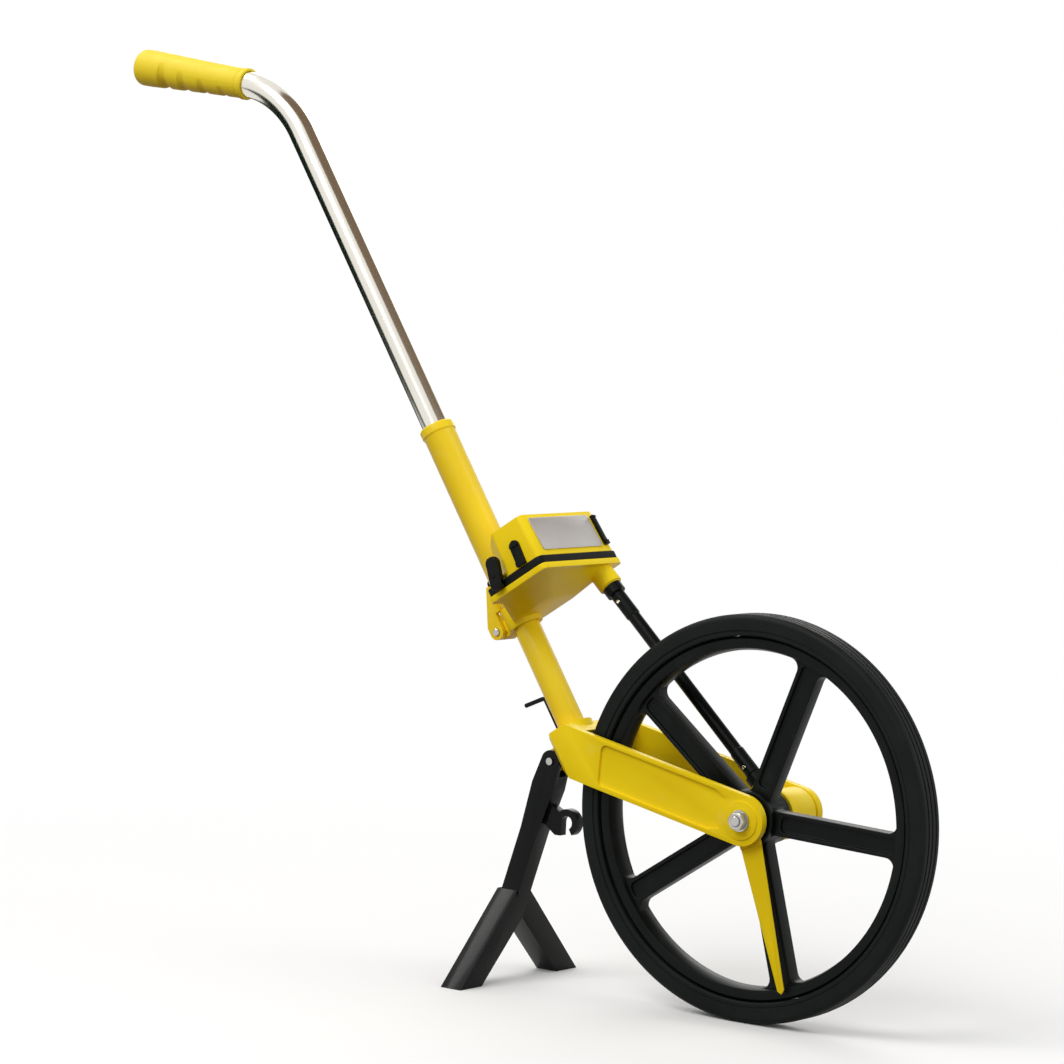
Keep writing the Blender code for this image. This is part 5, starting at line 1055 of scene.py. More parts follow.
@dataclass
class Housing:
    """The lower tube, the counter's base, seal and cover, and what is on them."""

    drive: Drive
    flange_top: float = 172.5 * MM
    flange_thick: float = 4.8 * MM
    back: float = 14 * MM
    front: float = 76 * MM
    right: float = 55 * MM
    left: float = 52 * MM
    inset: float = 1.5 * MM
    seal_thick: float = 6.5 * MM
    hull_bottom: float = 156.5 * MM
    cover_top: float = 217 * MM
    wall: float = 2.2 * MM
    draft: float = 2.5 * MM
    chamfer_forward: float = 40 * MM
    chamfer_side: float = 24 * MM
    window_low: float = -44 * MM
    window_high: float = 19 * MM
    window_half: float = 8.5 * MM
    screw_forward: float = 23 * MM
    screws: dict[str, float] = field(default_factory=lambda: {"right": -25 * MM, "left": 22 * MM})
    hinge_back: float = 22 * MM
    hinge_up: float = 159 * MM
    hinge: float = 6.5 * MM
    socket_foot: float = 152.5 * MM

    def base_outline(self, inset: float) -> list[Point]:
        """The base's flange seen along the column."""
        low = (self.back + inset, inset - self.right)
        high = (self.front - inset, self.left - inset)
        return rounded_box(low, high, 5 * MM, 6)

    def cover_foot(self) -> float:
        """Height of the cover's lower edge, over the seal."""
        return self.flange_top + self.seal_thick + 2 * FIT

    def lean(self) -> float:
        """How far the cover's walls lean in, as an angle."""
        return math.atan2(self.draft, self.cover_top - self.cover_foot())

    def window_outline(self, grow: float, radius: float, steps: int) -> list[Point]:
        """The window's outline seen along the column."""
        middle = self.drive.counter_forward
        half = self.window_half + grow
        low = (middle - half, self.window_low - grow)
        return rounded_box(low, (middle + half, self.window_high + grow), radius, steps)

    def cover_outline(self, inset: float) -> list[Point]:
        """The cover seen along the column, with its rear corners cut away."""
        grow = self.inset + inset
        low, high = -self.right + grow, self.left - grow
        back, front = self.back + grow, self.front - grow
        corners = [
            (back, low + self.chamfer_side), (self.chamfer_forward, low), (front, low), (front, high),
            (self.chamfer_forward, high), (back, high - self.chamfer_side),
        ]
        return rounded_outline(corners, 5 * MM, 6)

    def loft(
        self, low: Sequence[Point], high: Sequence[Point], bottom: float, top: float
    ) -> bmesh.types.BMesh:
        """A block between two outlines with the same number of corners."""
        made = bmesh.new()
        first = [made.verts.new((x, y, bottom)) for x, y in low]
        second = [made.verts.new((x, y, top)) for x, y in high]
        made.faces.new(first)
        made.faces.new(second)
        for i in range(len(first)):
            j = (i + 1) % len(first)
            made.faces.new([first[i], first[j], second[j], second[i]])
        bmesh.ops.recalc_face_normals(made, faces=made.faces)
        return made

    def base(self) -> Solid:
        """The cast base: flange, tapered hull, socket, drive boss and hinge lug.

        Returns:
            The base.
        """
        low = self.flange_top - self.flange_thick
        body = Solid("cast_counter_base", plate(self.base_outline(0), low, self.flange_top), COLUMN)
        top = rounded_box((18 * MM, -51 * MM), (72 * MM, 48 * MM), 8 * MM)
        foot = rounded_box((0, -20 * MM), (46 * MM, 20 * MM), 8 * MM)
        hull = self.loft(foot, top, self.hull_bottom, low + 0.5 * MM)
        socket = rod(14.5 * MM, self.socket_foot, self.flange_top - 0.5 * MM, 0.8 * MM, 64)
        drive_place = self.drive.place()
        boss = rod(10 * MM, 239.6 * MM, 258.1 * MM, 0.8 * MM, 64)
        ring = rod(8.8 * MM, 238.9 * MM, 241 * MM, 0.5 * MM, 64)
        turn = math.pi / 2
        lug = arc((-self.hinge_back, self.hinge_up), self.hinge, turn, 3 * turn, 24)
        lug += [(-11 * MM, self.hinge_up - self.hinge), (-11.3 * MM, self.hinge_up + self.hinge)]
        body.join(
            Solid("hull", hull, COLUMN), Solid("socket", socket, COLUMN), Solid("boss", boss, drive_place),
            Solid("boss_ring", ring, drive_place), Solid("lug", plate(lug, -6 * MM, 6 * MM), COLUMN_SIDE),
        )
        room = self.loft(
            rounded_box((22 * MM, -17 * MM), (43 * MM, 17 * MM), 4 * MM, 4),
            rounded_box((30 * MM, -45 * MM), (69 * MM, 22 * MM), 4 * MM, 4),
            self.hull_bottom + 3 * MM, self.flange_top + OVERRUN,
        )
        tube = rod(11.3 * MM, self.socket_foot - 2 * MM, low + FIT, 0, 64)
        bore = rod(6.3 * MM, 237 * MM, 272 * MM, 0, 48)
        pin = rod(PIN_HOLE, -14 * MM, 14 * MM, 0, 32)
        pin_place = COLUMN @ move(-self.hinge_back, 0, self.hinge_up) @ spin(90, "X")
        body.cut(
            Solid("room", room, COLUMN), Solid("tube_hole", tube, COLUMN),
            Solid("bore", bore, drive_place), Solid("pin_hole", pin, pin_place),
        )
        return body.eased(0.9 * MM, 3, 30)

    def seal(self) -> Solid:
        """The rubber seal, with the flange's outline and a rounded edge."""
        low = self.flange_top + FIT
        high = low + self.seal_thick
        body = Solid("moulded_seal", plate(self.base_outline(0.6 * MM), low, high), COLUMN)
        body.cut(Solid("inside", plate(self.cover_outline(4 * MM), low - OVERRUN, high + OVERRUN), COLUMN))
        return body.eased(1 * MM, 4, 30)

    def cover_block(self, inset: float, low: float, high: float) -> bmesh.types.BMesh:
        """The drafted cover as a block, drawn in by an inset."""
        slope = self.draft / (self.cover_top - self.cover_foot())
        insets = [inset + slope * (height - self.cover_foot()) for height in (low, high)]
        return self.loft(self.cover_outline(insets[0]), self.cover_outline(insets[1]), low, high)

    def cover(self) -> Solid:
        """The moulded cover: a drafted shell with holes for its window, the lever and the screws.

        Returns:
            The cover.
        """
        bottom = self.cover_foot()
        through = (205 * MM, 225 * MM)
        body = Solid("moulded_cover", self.cover_block(0, bottom, self.cover_top), COLUMN)
        inside = self.cover_block(self.wall, bottom - OVERRUN, self.cover_top - self.wall)
        hole = plate(self.window_outline(0, 1.5 * MM, 4), *through)
        lever = rod(2.3 * MM, 29.5 * MM, 61 * MM, 0, 24)
        body.cut(
            Solid("inside", inside, COLUMN), Solid("window_hole", hole, COLUMN),
            Solid("lever_hole", lever, LEVER_SHAFT),
        )
        for index, across in enumerate(self.screws.values()):
            seat = rod(2.5 * MM, *through, 0, 32)
            body.cut(Solid(f"screw_hole_{index + 1}", seat, COLUMN @ move(self.screw_forward, across)))
        return body.eased(1.3 * MM, 4, 28)

    def window(self) -> Solid:
        """The clear lens over the drums, with its edge eased."""
        low = self.cover_top + FIT
        made = plate(self.window_outline(2 * MM, 2.5 * MM, 5), low, low + 1.6 * MM)
        return Solid("clear_window", made, COLUMN).eased(0.5 * MM, 3, 30)

    def front_face(self) -> Matrix:
        """Frame on the cover's front: x out of it and z up it."""
        foot = COLUMN @ move(self.front - self.inset, 0, self.cover_foot())
        return foot @ Matrix.Rotation(-self.lean(), 4, "Y")

    def side_face(self) -> Matrix:
        """Frame in the middle of the cover's right side: x out of it and z up it."""
        middle = (self.chamfer_forward + self.front - self.inset) / 2
        foot = COLUMN @ move(middle, self.inset - self.right, self.cover_foot())
        return foot @ Matrix.Rotation(-self.lean(), 4, "X") @ spin(-90, "Z")

    def plate_on_front(self) -> Solid:
        """The bare silver plate, with a rolled edge and rounded corners."""
        outline = rounded_box((-43.5 * MM, 4.5 * MM), (37 * MM, 34 * MM), 2.5 * MM)
        place = self.front_face() @ spin(90, "Z") @ spin(90, "X")
        return Solid("rolled_front_plate", plate(outline, FIT, FIT + 0.7 * MM), place).eased(0.3 * MM, 2, 30)

    def clip(self, name: str, width: float, height: float, corner: float, place: Matrix) -> Solid:
        """A black clip: x out, y across and z up, with a thumb ridge and a hooked foot.

        Args:
            name: Name of the piece.
            width: Its width.
            height: Its height.
            corner: Radius of its upper corners.
            place: Frame on the face that it lies on.

        Returns:
            The clip.
        """
        half = width / 2
        foot = 4 * MM
        thick = 2.3 * MM
        top = arc((half - corner, height - corner), corner, 0, math.pi / 2, 8)
        outline = [(-half, FIT), (half, FIT)] + top + [(-x, y) for x, y in reversed(top)]
        across = place @ spin(90, "Z") @ spin(90, "X")
        body = Solid(name, plate(outline, FIT, thick), across)
        proud = thick + 1 * MM
        ridge = block((-half, FIT, thick - FIT), (half, foot, proud))
        pad = [(x, y - 3 * FIT) for x, y in outline if y > height - 2 * foot]
        thumb = plate(pad, thick - FIT, proud)
        body.join(Solid("foot", ridge, across), Solid("thumb", thumb, across))
        return body.eased(0.45 * MM, 3, 28)

    def screw(self, name: str, across: float) -> Solid:
        """A long screw with a domed head and a cross recess."""
        head = self.cover_top + FIT
        profile = [
            (0, 166.5 * MM), (1.6 * MM, 166.5 * MM), (2.2 * MM, 168 * MM), (2.2 * MM, head),
            (3.6 * MM, head), (3.6 * MM, head + 1 * MM), (3.1 * MM, head + 1.6 * MM),
            (1.8 * MM, head + 2 * MM), (0, head + 2 * MM),
        ]
        place = COLUMN @ move(self.screw_forward, across)
        body = Solid(name, turned(profile, 40), place)
        for turn in (45, 135):
            slot = block((-2.1 * MM, -0.4 * MM, head + 0.9 * MM), (2.1 * MM, 0.4 * MM, head + 4 * MM))
            body.cut(Solid(f"{name}_slot_{turn}", slot, place @ spin(turn, "Z")))
        return body

    def build(self) -> None:
        """Makes and dresses the housing's pieces."""
        tube = rod(11 * MM, 42.3 * MM, 168 * MM, 0.4 * MM, 96)
        dress(Solid("round_lower_tube", tube, COLUMN), "chassis", TUBE_YELLOW, ["lower_tube"])
        dress(self.base(), "chassis", CAST_YELLOW, ["housing_base"])
        dress(self.seal(), "chassis", RUBBER, ["housing_seal"])
        dress(self.cover(), "chassis", CAST_YELLOW, ["counter_cover"])
        dress(self.window(), "chassis", CLEAR_LENS, ["counter_window"])
        dress(self.plate_on_front(), "chassis", SATIN_PLATE, ["front_plate"])
        front = self.front_face() @ move(y=42.5 * MM, z=5 * MM)
        clip = self.clip("front_clip", 5 * MM, 28 * MM, 1.5 * MM, front)
        dress(clip, "chassis", BLACK_MOULDED, ["cover_clip_left"])
        clip = self.clip("side_clip", 9 * MM, 22 * MM, 4.4 * MM, self.side_face())
        dress(clip, "chassis", BLACK_MOULDED, ["cover_clip_right"])
        for side, across in self.screws.items():
            dress(self.screw(f"cross_screw_{side}", across), "chassis", STEEL, [f"cover_screw_{side}"])


# Counter


@dataclass
class Counter:
    """The digit drums under the window and the reset lever beside the cover."""

    tools: Repeater
    shown: tuple[int, ...] = (8, 3, 8, 3, 0)
    radius: float = 11.5 * MM
    width: float = 9 * MM
    pitch: float = 12 * MM
    first: float = -41 * MM
    bore: float = 2.3 * MM
    ring_root: float = 8.1 * MM
    ring_tip: float = 9.3 * MM
    ring_width: float = 1.2 * MM
    teeth: int = 20
    mesh_angle: float = math.radians(60)
    digits: int = 10
    digit_height: float = 6.4 * MM
    digit_cut: float = 0.5 * MM
    ink: float = 0.04 * MM
    lever_radius: float = 5.8 * MM
    lever_top: Point = (4.5 * MM, 9 * MM)
    lever_foot: Point = (0.5 * MM, -6 * MM)
    lever_right: float = 61 * MM
    lever_thick: float = 5.7 * MM
    lever_ridges: int = 18

    def place(self) -> Matrix:
        """The drums' frame: z along their shaft to the left."""
        return COLUMN @ move(x=55 * MM, z=200 * MM) @ spin(-90, "X")

    def drum(self, index: int) -> Solid:
        """One drum, its rims eased, with the toothed ring that its carry pinion turns.

        Args:
            index: 0 for the fastest drum, on the right.

        Returns:
            The drum.
        """
        low = self.first + index * self.pitch
        high = low + self.width
        start = low - (self.ring_width if index else 0)
        edge = 0.5 * MM
        profile = [
            (self.bore, start), (self.ring_root, start), (self.ring_root, low), (self.radius - edge, low),
            (self.radius, low + edge), (self.radius, high - edge), (self.radius - edge, high),
            (self.ring_root, high), (self.ring_root - edge, high - edge), (self.bore, high - edge),
        ]
        body = Solid(f"number_drum_{index + 1}", turned(profile, 100), self.place())
        if index:
            reach = self.ring_tip - self.ring_root
            tooth = Solid("drum_tooth", block((-edge, -edge, start), (reach, edge, low + edge)))
            finish = WHITE_DRUM
            ring = self.tools.round_axis(
                "drum_teeth", tooth, self.teeth, self.ring_root, self.mesh_angle, self.place(), finish
            )
            body.join(ring)
        return body

    def digit(self, number: int) -> bmesh.types.BMesh:
        """A printed digit lying flat, cut in strips across so that it can bend.

        Args:
            number: The digit.

        Returns:
            The digit, upright in y.
        """
        text = bpy.data.curves.new("digit", "FONT")
        text.body = str(number)
        text.size = self.digit_height / 0.7
        text.align_x = "CENTER"
        text.align_y = "CENTER"
        text.extrude = self.ink
        holder = bpy.data.objects.new("digit", text)
        bpy.context.scene.collection.objects.link(holder)
        graph = bpy.context.evaluated_depsgraph_get()
        mesh = bpy.data.meshes.new_from_object(holder.evaluated_get(graph))
        bpy.data.objects.remove(holder, do_unlink=True)
        bpy.data.curves.remove(text)
        made = bmesh.new()
        made.from_mesh(mesh)
        bpy.data.meshes.remove(mesh)
        steps = round(self.digit_height / self.digit_cut)
        for step in range(-steps, steps + 1):
            parts = made.verts[:] + made.edges[:] + made.faces[:]
            spot = (0, step * self.digit_cut, 0)
            bmesh.ops.bisect_plane(made, geom=parts, plane_co=spot, plane_no=(0, 1, 0))
        return made

    def print_on(self, index: int) -> Solid:
        """The ten digits printed round one drum.

        Args:
            index: 0 for the fastest drum.

        Returns:
            The digits, bent to the drum.
        """
        middle = self.first + index * self.pitch + self.width / 2
        step = FULL_TURN / self.digits
        whole = bmesh.new()
        for number in range(self.digits):
            turn = (number - self.shown[index]) * step - math.pi / 2
            made = self.digit(number)
            for vertex in made.verts:
                angle = turn + vertex.co.y / self.radius
                out = self.radius + vertex.co.z
                vertex.co = (out * math.cos(angle), out * math.sin(angle), middle - vertex.co.x)
            mesh = bpy.data.meshes.new("bent_digit")
            made.to_mesh(mesh)
            made.free()
            whole.from_mesh(mesh)
            bpy.data.meshes.remove(mesh)
        bmesh.ops.recalc_face_normals(whole, faces=whole.faces)
        return Solid(f"printed_digits_{index + 1}", whole, self.place())

    def lever(self) -> Solid:
        """The thumb lever, with fine ridges round its end.

        Returns:
            The lever.
        """
        r = self.lever_radius
        low = self.lever_right - self.lever_thick
        outline = arc(self.lever_foot, r, -math.pi, 0, 20) + arc(self.lever_top, r, 0, math.pi, 20)
        body = Solid("ridged_reset_lever", plate(outline, low, self.lever_right), LEVER_SHAFT)
        body.eased(0.8 * MM, 3, 30)
        body.plain()
        ends = (low + 0.8 * MM, self.lever_right - 0.8 * MM)
        ridge = Solid("lever_ridge", rod(0.5 * MM, *ends, 0.2 * MM, 10))
        spot = LEVER_SHAFT @ move(*self.lever_top)
        body.join(self.tools.round_axis("lever_ridges", ridge, self.lever_ridges, r, 0.1, spot, BLACK_ENAMEL))
        dimple = turned([(0, -1.2 * MM), (2.2 * MM, 0), (2.2 * MM, OVERRUN), (0, OVERRUN)], 32)
        return body.cut(Solid("lever_dimple", dimple, LEVER_SHAFT @ move(z=self.lever_right)))

    def build(self) -> None:
        """Makes and dresses the drums and the lever."""
        for index in range(len(self.shown)):
            fast = index == 0
            body = f"drum_{index + 1}"
            dress(self.drum(index), body, RED_DRUM if fast else WHITE_DRUM, [f"digit_drum_{index + 1}"])
            dress(self.print_on(index), body, DIGIT_WHITE if fast else DIGIT_BLACK)
        dress(self.lever(), "reset", BLACK_ENAMEL, ["reset_lever"])
        carry_over(STEEL, "drum_frame", "drum_shaft", "carry_shaft", "counter_gear", "reset_shaft")
        carry_over(BRASS, *[f"carry_pinion_{number}" for number in range(1, len(self.shown))])


# Handle


@dataclass
class Handle:
    """The upper tube with its fold, the bent chrome tube and the grip."""

    tools: Repeater
    hinge_back: float = 22 * MM
    hinge_up: float = 159 * MM
    hinge: float = 6.5 * MM
    ear_inner: float = 6.3 * MM
    ear_outer: float = 10.8 * MM
    upper: float = 13.5 * MM
    foot: float = 172.3 * MM
    top: float = 337 * MM
    floor: float = 225 * MM
    tube: float = 11 * MM
    button_up: float = 198 * MM
    rivet_up: float = 315 * MM
    straight_end: float = 619 * MM
    bend: float = 88 * MM
    bend_turn: float = math.radians(50.7)
    tail: float = 100 * MM
    grip_overlap: float = 4 * MM
    grip_length: float = 120 * MM
    grip_front: float = 12.6 * MM
    grip_back: float = 15.5 * MM
    notches: tuple[float, ...] = (87 * MM, 65.5 * MM, 44 * MM, 22.5 * MM)
    notch_floor: float = 11.7 * MM
    notch_half: float = 8 * MM
    notch_flat: float = 2.6 * MM
    notch_shift: float = -2.2 * MM

    def bend_end(self) -> tuple[Vector, Vector]:
        """Where the bend ends and the way it points, in the column's frame."""
        sine = math.sin(self.bend_turn)
        cosine = math.cos(self.bend_turn)
        end = Vector((-self.bend * (1 - cosine), 0, self.straight_end + self.bend * sine))
        return end, Vector((-sine, 0, cosine))

    def upper_tube(self) -> Solid:
        """The upper tube: beaded collar, ears on the fold pin, and the bore for the chrome tube.

        Returns:
            The tube.
        """
        r = self.upper
        top = self.top
        profile = [
            (0, self.foot), (r - 0.6 * MM, self.foot), (r, self.foot + 0.6 * MM), (r, top - 8.6 * MM),
            (r + 0.4 * MM, top - 7.6 * MM), (r + 1 * MM, top - 7 * MM), (r + 1 * MM, top - 1 * MM),
            (r, top), (0, top),
        ]
        body = Solid("beaded_upper_tube", turned(profile, 96), COLUMN)
        outline = arc((-self.hinge_back, self.hinge_up), self.hinge, -math.pi, 0, 24)
        outline += [
            (self.hinge - self.hinge_back, self.foot + 0.3 * MM), (-11 * MM, self.foot + 0.5 * MM),
            (-11 * MM, 195 * MM), (-r, 195 * MM), (-28.5 * MM, 165.8 * MM),
        ]
        for name, low in (("right", self.ear_inner), ("left", -self.ear_outer)):
            high = low + self.ear_outer - self.ear_inner
            body.join(Solid(f"ear_{name}", plate(outline, low, high), COLUMN_SIDE))
        bore = rod(self.tube + FIT, self.floor, top + OVERRUN, 0, 96)
        pin = rod(PIN_HOLE, -14 * MM, 14 * MM, 0, 32)
        button = rod(4.3 * MM, 6.2 * MM, 30 * MM, 0, 40)
        rivet = rod(2.3 * MM, 9 * MM, 16 * MM, 0, 24)
        body.cut(
            Solid("bore", bore, COLUMN), Solid("pin_hole", pin, self.pin_place()),
            Solid("button_hole", button, self.button_place()), Solid("rivet_hole", rivet, self.rivet_place()),
        )
        return body.eased(0.7 * MM, 3, 32)

    def pin_place(self) -> Matrix:
        """The fold pin's frame, z to the left."""
        return COLUMN @ move(x=-self.hinge_back, z=self.hinge_up) @ spin(-90, "X")

    def button_place(self) -> Matrix:
        """The button's frame, z out of the rear."""
        return COLUMN @ move(z=self.button_up) @ spin(-90, "Y")

    def rivet_place(self) -> Matrix:
        """The rivet's frame, z to the left."""
        return COLUMN @ move(z=self.rivet_up) @ spin(-90, "X")

    def chrome_tube(self) -> Solid:
        """The chrome tube along its straight, its bend and its tail."""
        end, way = self.bend_end()
        bend = arc((-self.bend, self.straight_end), self.bend, 0, self.bend_turn, 60)
        points = [(0, 0, self.floor + FIT)] + [(x, 0, z) for x, z in bend] + [tuple(end + way * self.tail)]
        return self.tools.bar_on("bent_chrome_tube", points, self.tube, 72, COLUMN, CHROME)

    def grip_place(self) -> Matrix:
        """The grip's frame: z to its closed end and x to its finger side."""
        end, way = self.bend_end()
        start = COLUMN @ Matrix.Translation(end - way * self.grip_overlap)
        return start @ Matrix.Rotation(-self.bend_turn, 4, "Y") @ spin(180, "Z")

    def grip(self) -> Solid:
        """The moulded grip: entry ring, swelling body with notches between the fingers, rounded end.

        Returns:
            The grip.
        """
        far = self.grip_length
        front = self.grip_front
        back = self.grip_back
        swell = 7.6 * MM
        crown = 5 * MM
        profile = [
            (0, 0), (12.7 * MM, 0), (13.4 * MM, 0.7 * MM), (13.4 * MM, 4.2 * MM), (12.9 * MM, 4.9 * MM),
            (front - 0.5 * MM, 5.6 * MM), (front - 0.5 * MM, 6.8 * MM), (front, swell),
        ]
        for share in (0.25, 0.5, 0.75, 1.0):
            profile.append((front + (back - front) * share, swell + 98 * MM * share ** 0.8))
        profile += arc((back - crown, far - crown), crown, 0, math.pi / 2, 10) + [(0, far)]
        body = Solid("notched_grip", turned(profile, 96), self.grip_place())
        out = back + 1 * MM
        inner = self.notch_floor - self.notch_shift
        outer = out - self.notch_shift
        flat = self.notch_flat
        slopes = [(inner, -flat), (outer, -self.notch_half), (outer, self.notch_half), (inner, flat)]
        for index, along in enumerate(self.notches):
            spot = self.grip_place() @ move(x=self.notch_shift, z=along)
            body.cut(Solid(f"notch_{index + 1}", turned(slopes, 96), spot))
        body.cut(Solid("grip_bore", rod(self.tube + FIT, -OVERRUN, 104.3 * MM, 0, 72), self.grip_place()))
        return body.eased(0.7 * MM, 4, 24)

    def fittings(self) -> None:
        """Makes and dresses the fold pin, the button and the rivet."""
        head = self.ear_outer + FIT
        profile = [
            (0, -head - 1.5 * MM), (2.3 * MM, -head - 1.5 * MM), (3 * MM, -head - 0.8 * MM), (3 * MM, head),
            (5 * MM, head), (5 * MM, head + 0.7 * MM), (4.2 * MM, head + 1.2 * MM), (0, head + 1.5 * MM),
        ]
        dress(Solid("domed_fold_pin", turned(profile, 40), self.pin_place()), "chassis", STEEL, ["fold_pin"])
        profile = [
            (0, 8.5 * MM), (4 * MM, 8.5 * MM), (4 * MM, 15.6 * MM), (3.4 * MM, 16.3 * MM),
            (2.6 * MM, 16.5 * MM), (2.2 * MM, 16.1 * MM), (0, 15.9 * MM),
        ]
        button = Solid("dished_fold_button", turned(profile, 48), self.button_place())
        dress(button, "fold_button", BLACK_MOULDED, ["fold_button"])
        profile = [
            (0, 9.9 * MM), (2 * MM, 9.9 * MM), (2 * MM, 13.8 * MM), (3.6 * MM, 13.8 * MM),
            (3.3 * MM, 14.4 * MM), (2.3 * MM, 14.8 * MM), (0, 14.9 * MM),
        ]
        rivet = Solid("domed_handle_rivet", turned(profile, 40), self.rivet_place())
        dress(rivet, "handle", STEEL, ["handle_rivet"])

    def build(self) -> None:
        """Makes and dresses the handle."""
        dress(self.upper_tube(), "handle", TUBE_YELLOW, ["upper_tube"])
        dress(self.chrome_tube(), "handle", CHROME, ["handle_tube"])
        dress(self.grip(), "handle", GRIP_YELLOW, ["grip"])
        self.fittings()


# Stand


@dataclass
class Stand:
    """The black folding stand and the spring wire that it rests against when it is folded."""

    tools: Repeater
    back: float = 28 * MM
    up: float = 45 * MM
    lean: float = math.radians(17.3)
    length: float = 123 * MM
    leg_half: float = 8.5 * MM
    leg_wide: float = 11 * MM
    hub: float = 9 * MM
    lug_half: float = 4.3 * MM
    half_y: float = 8.3 * MM
    lug_room: float = 14.13 * MM
    shoulder: float = -86 * MM
    crotch: float = -109 * MM
    heel: float = 51 * MM
    reach: float = 79 * MM
    foot_half: float = 10 * MM
    ring: Point = (-181 * MM, -26 * MM)
    ring_outer: float = 11 * MM
    ring_inner: float = 5.5 * MM
    wire: float = 1.8 * MM

    def leg(self) -> bmesh.types.BMesh:
        """The leg with its hub, in its own frame: y up along it."""
        outline = arc((0, 0), self.hub, 0, math.pi, 24)
        half, wide = self.leg_half, self.leg_wide
        outline += [(-wide, -22 * MM), (-half, -61.5 * MM), (-half, -self.length)]
        outline += [(half, -self.length), (half, -61.5 * MM), (wide, -22 * MM)]
        return plate(outline, -self.half_y, self.half_y)

    def feet(self) -> bmesh.types.BMesh:
        """The two feet as one shape seen from behind."""
        ground = -AXLE_HEIGHT
        outline = [
            (-self.leg_half, self.shoulder), (-self.reach, ground), (-self.heel, ground), (0, self.crotch),
            (self.heel, ground), (self.reach, ground), (self.leg_half, self.shoulder),
        ]
        return plate(outline, -self.foot_half, self.foot_half)

    def hook(self) -> bmesh.types.BMesh:
        """The hook: an arm, an open ring and an inner prong."""
        outer = arc(self.ring, self.ring_outer, math.radians(130), math.radians(-60), 24)
        inner = arc(self.ring, self.ring_inner, math.radians(-60), math.pi, 24)
        outline = [(-207 * MM, -8 * MM)] + outer + inner
        outline += [(-186.5 * MM, -37 * MM), (-192 * MM, -37 * MM), (-210 * MM, -24 * MM)]
        return plate(outline, -4 * MM, 4 * MM)

    def body(self) -> Solid:
        """Leg, feet and hook in one.

        Returns:
            The stand.
        """
        x, z = column_point(-self.back, self.up)
        upright = move(x, COLUMN_LEFT, AXLE_HEIGHT + z) @ Matrix.Rotation(self.lean, 4, "Y") @ spin(90, "X")
        split = x - self.length * math.sin(self.lean)
        across = move(split, COLUMN_LEFT, AXLE_HEIGHT) @ spin(90, "Z") @ spin(90, "X")
        side = move(y=COLUMN_LEFT, z=AXLE_HEIGHT) @ spin(90, "X")
        made = Solid("rounded_stand", self.leg(), upright)
        made.join(Solid("feet", self.feet(), across), Solid("hook", self.hook(), side))
        pivot = COLUMN @ move(x=-self.back, z=self.up) @ spin(-90, "X")
        room = rod(self.lug_room, -self.lug_half, self.lug_half, 0, 72)
        pin = rod(PIN_HOLE, -12 * MM, 12 * MM, 0, 32)
        made.cut(Solid("lug_room", room, pivot), Solid("pin_hole", pin, pivot))
        return made.eased(1.6 * MM, 4, 30)

    def catch(self) -> Solid:
        """The spring wire, bent back at its top."""
        x = -13.1 * MM
        bend = arc((x - 3 * MM, 91.16 * MM), 3 * MM, 0, math.radians(80.6), 12)
        points = [(x, 0, 60.3 * MM)] + [(a, 0, b) for a, b in bend] + [(-33.1 * MM, 0, 97 * MM)]
        return self.tools.bar_on("bent_stand_catch", points, self.wire, 28, COLUMN, BLACK_ENAMEL)

    def build(self) -> None:
        """Makes and dresses the stand."""
        dress(self.body(), "stand", BLACK_ENAMEL, ["stand"])
        dress(self.catch(), "stand_catch", BLACK_ENAMEL, ["stand_catch"])


# Studio


class Facing(Enum):
    """The way a studio card faces, as a turn from straight up."""

    FRONT = (90.0, "Y")
    RIGHT = (90.0, "X")
    DOWN = (180.0, "X")


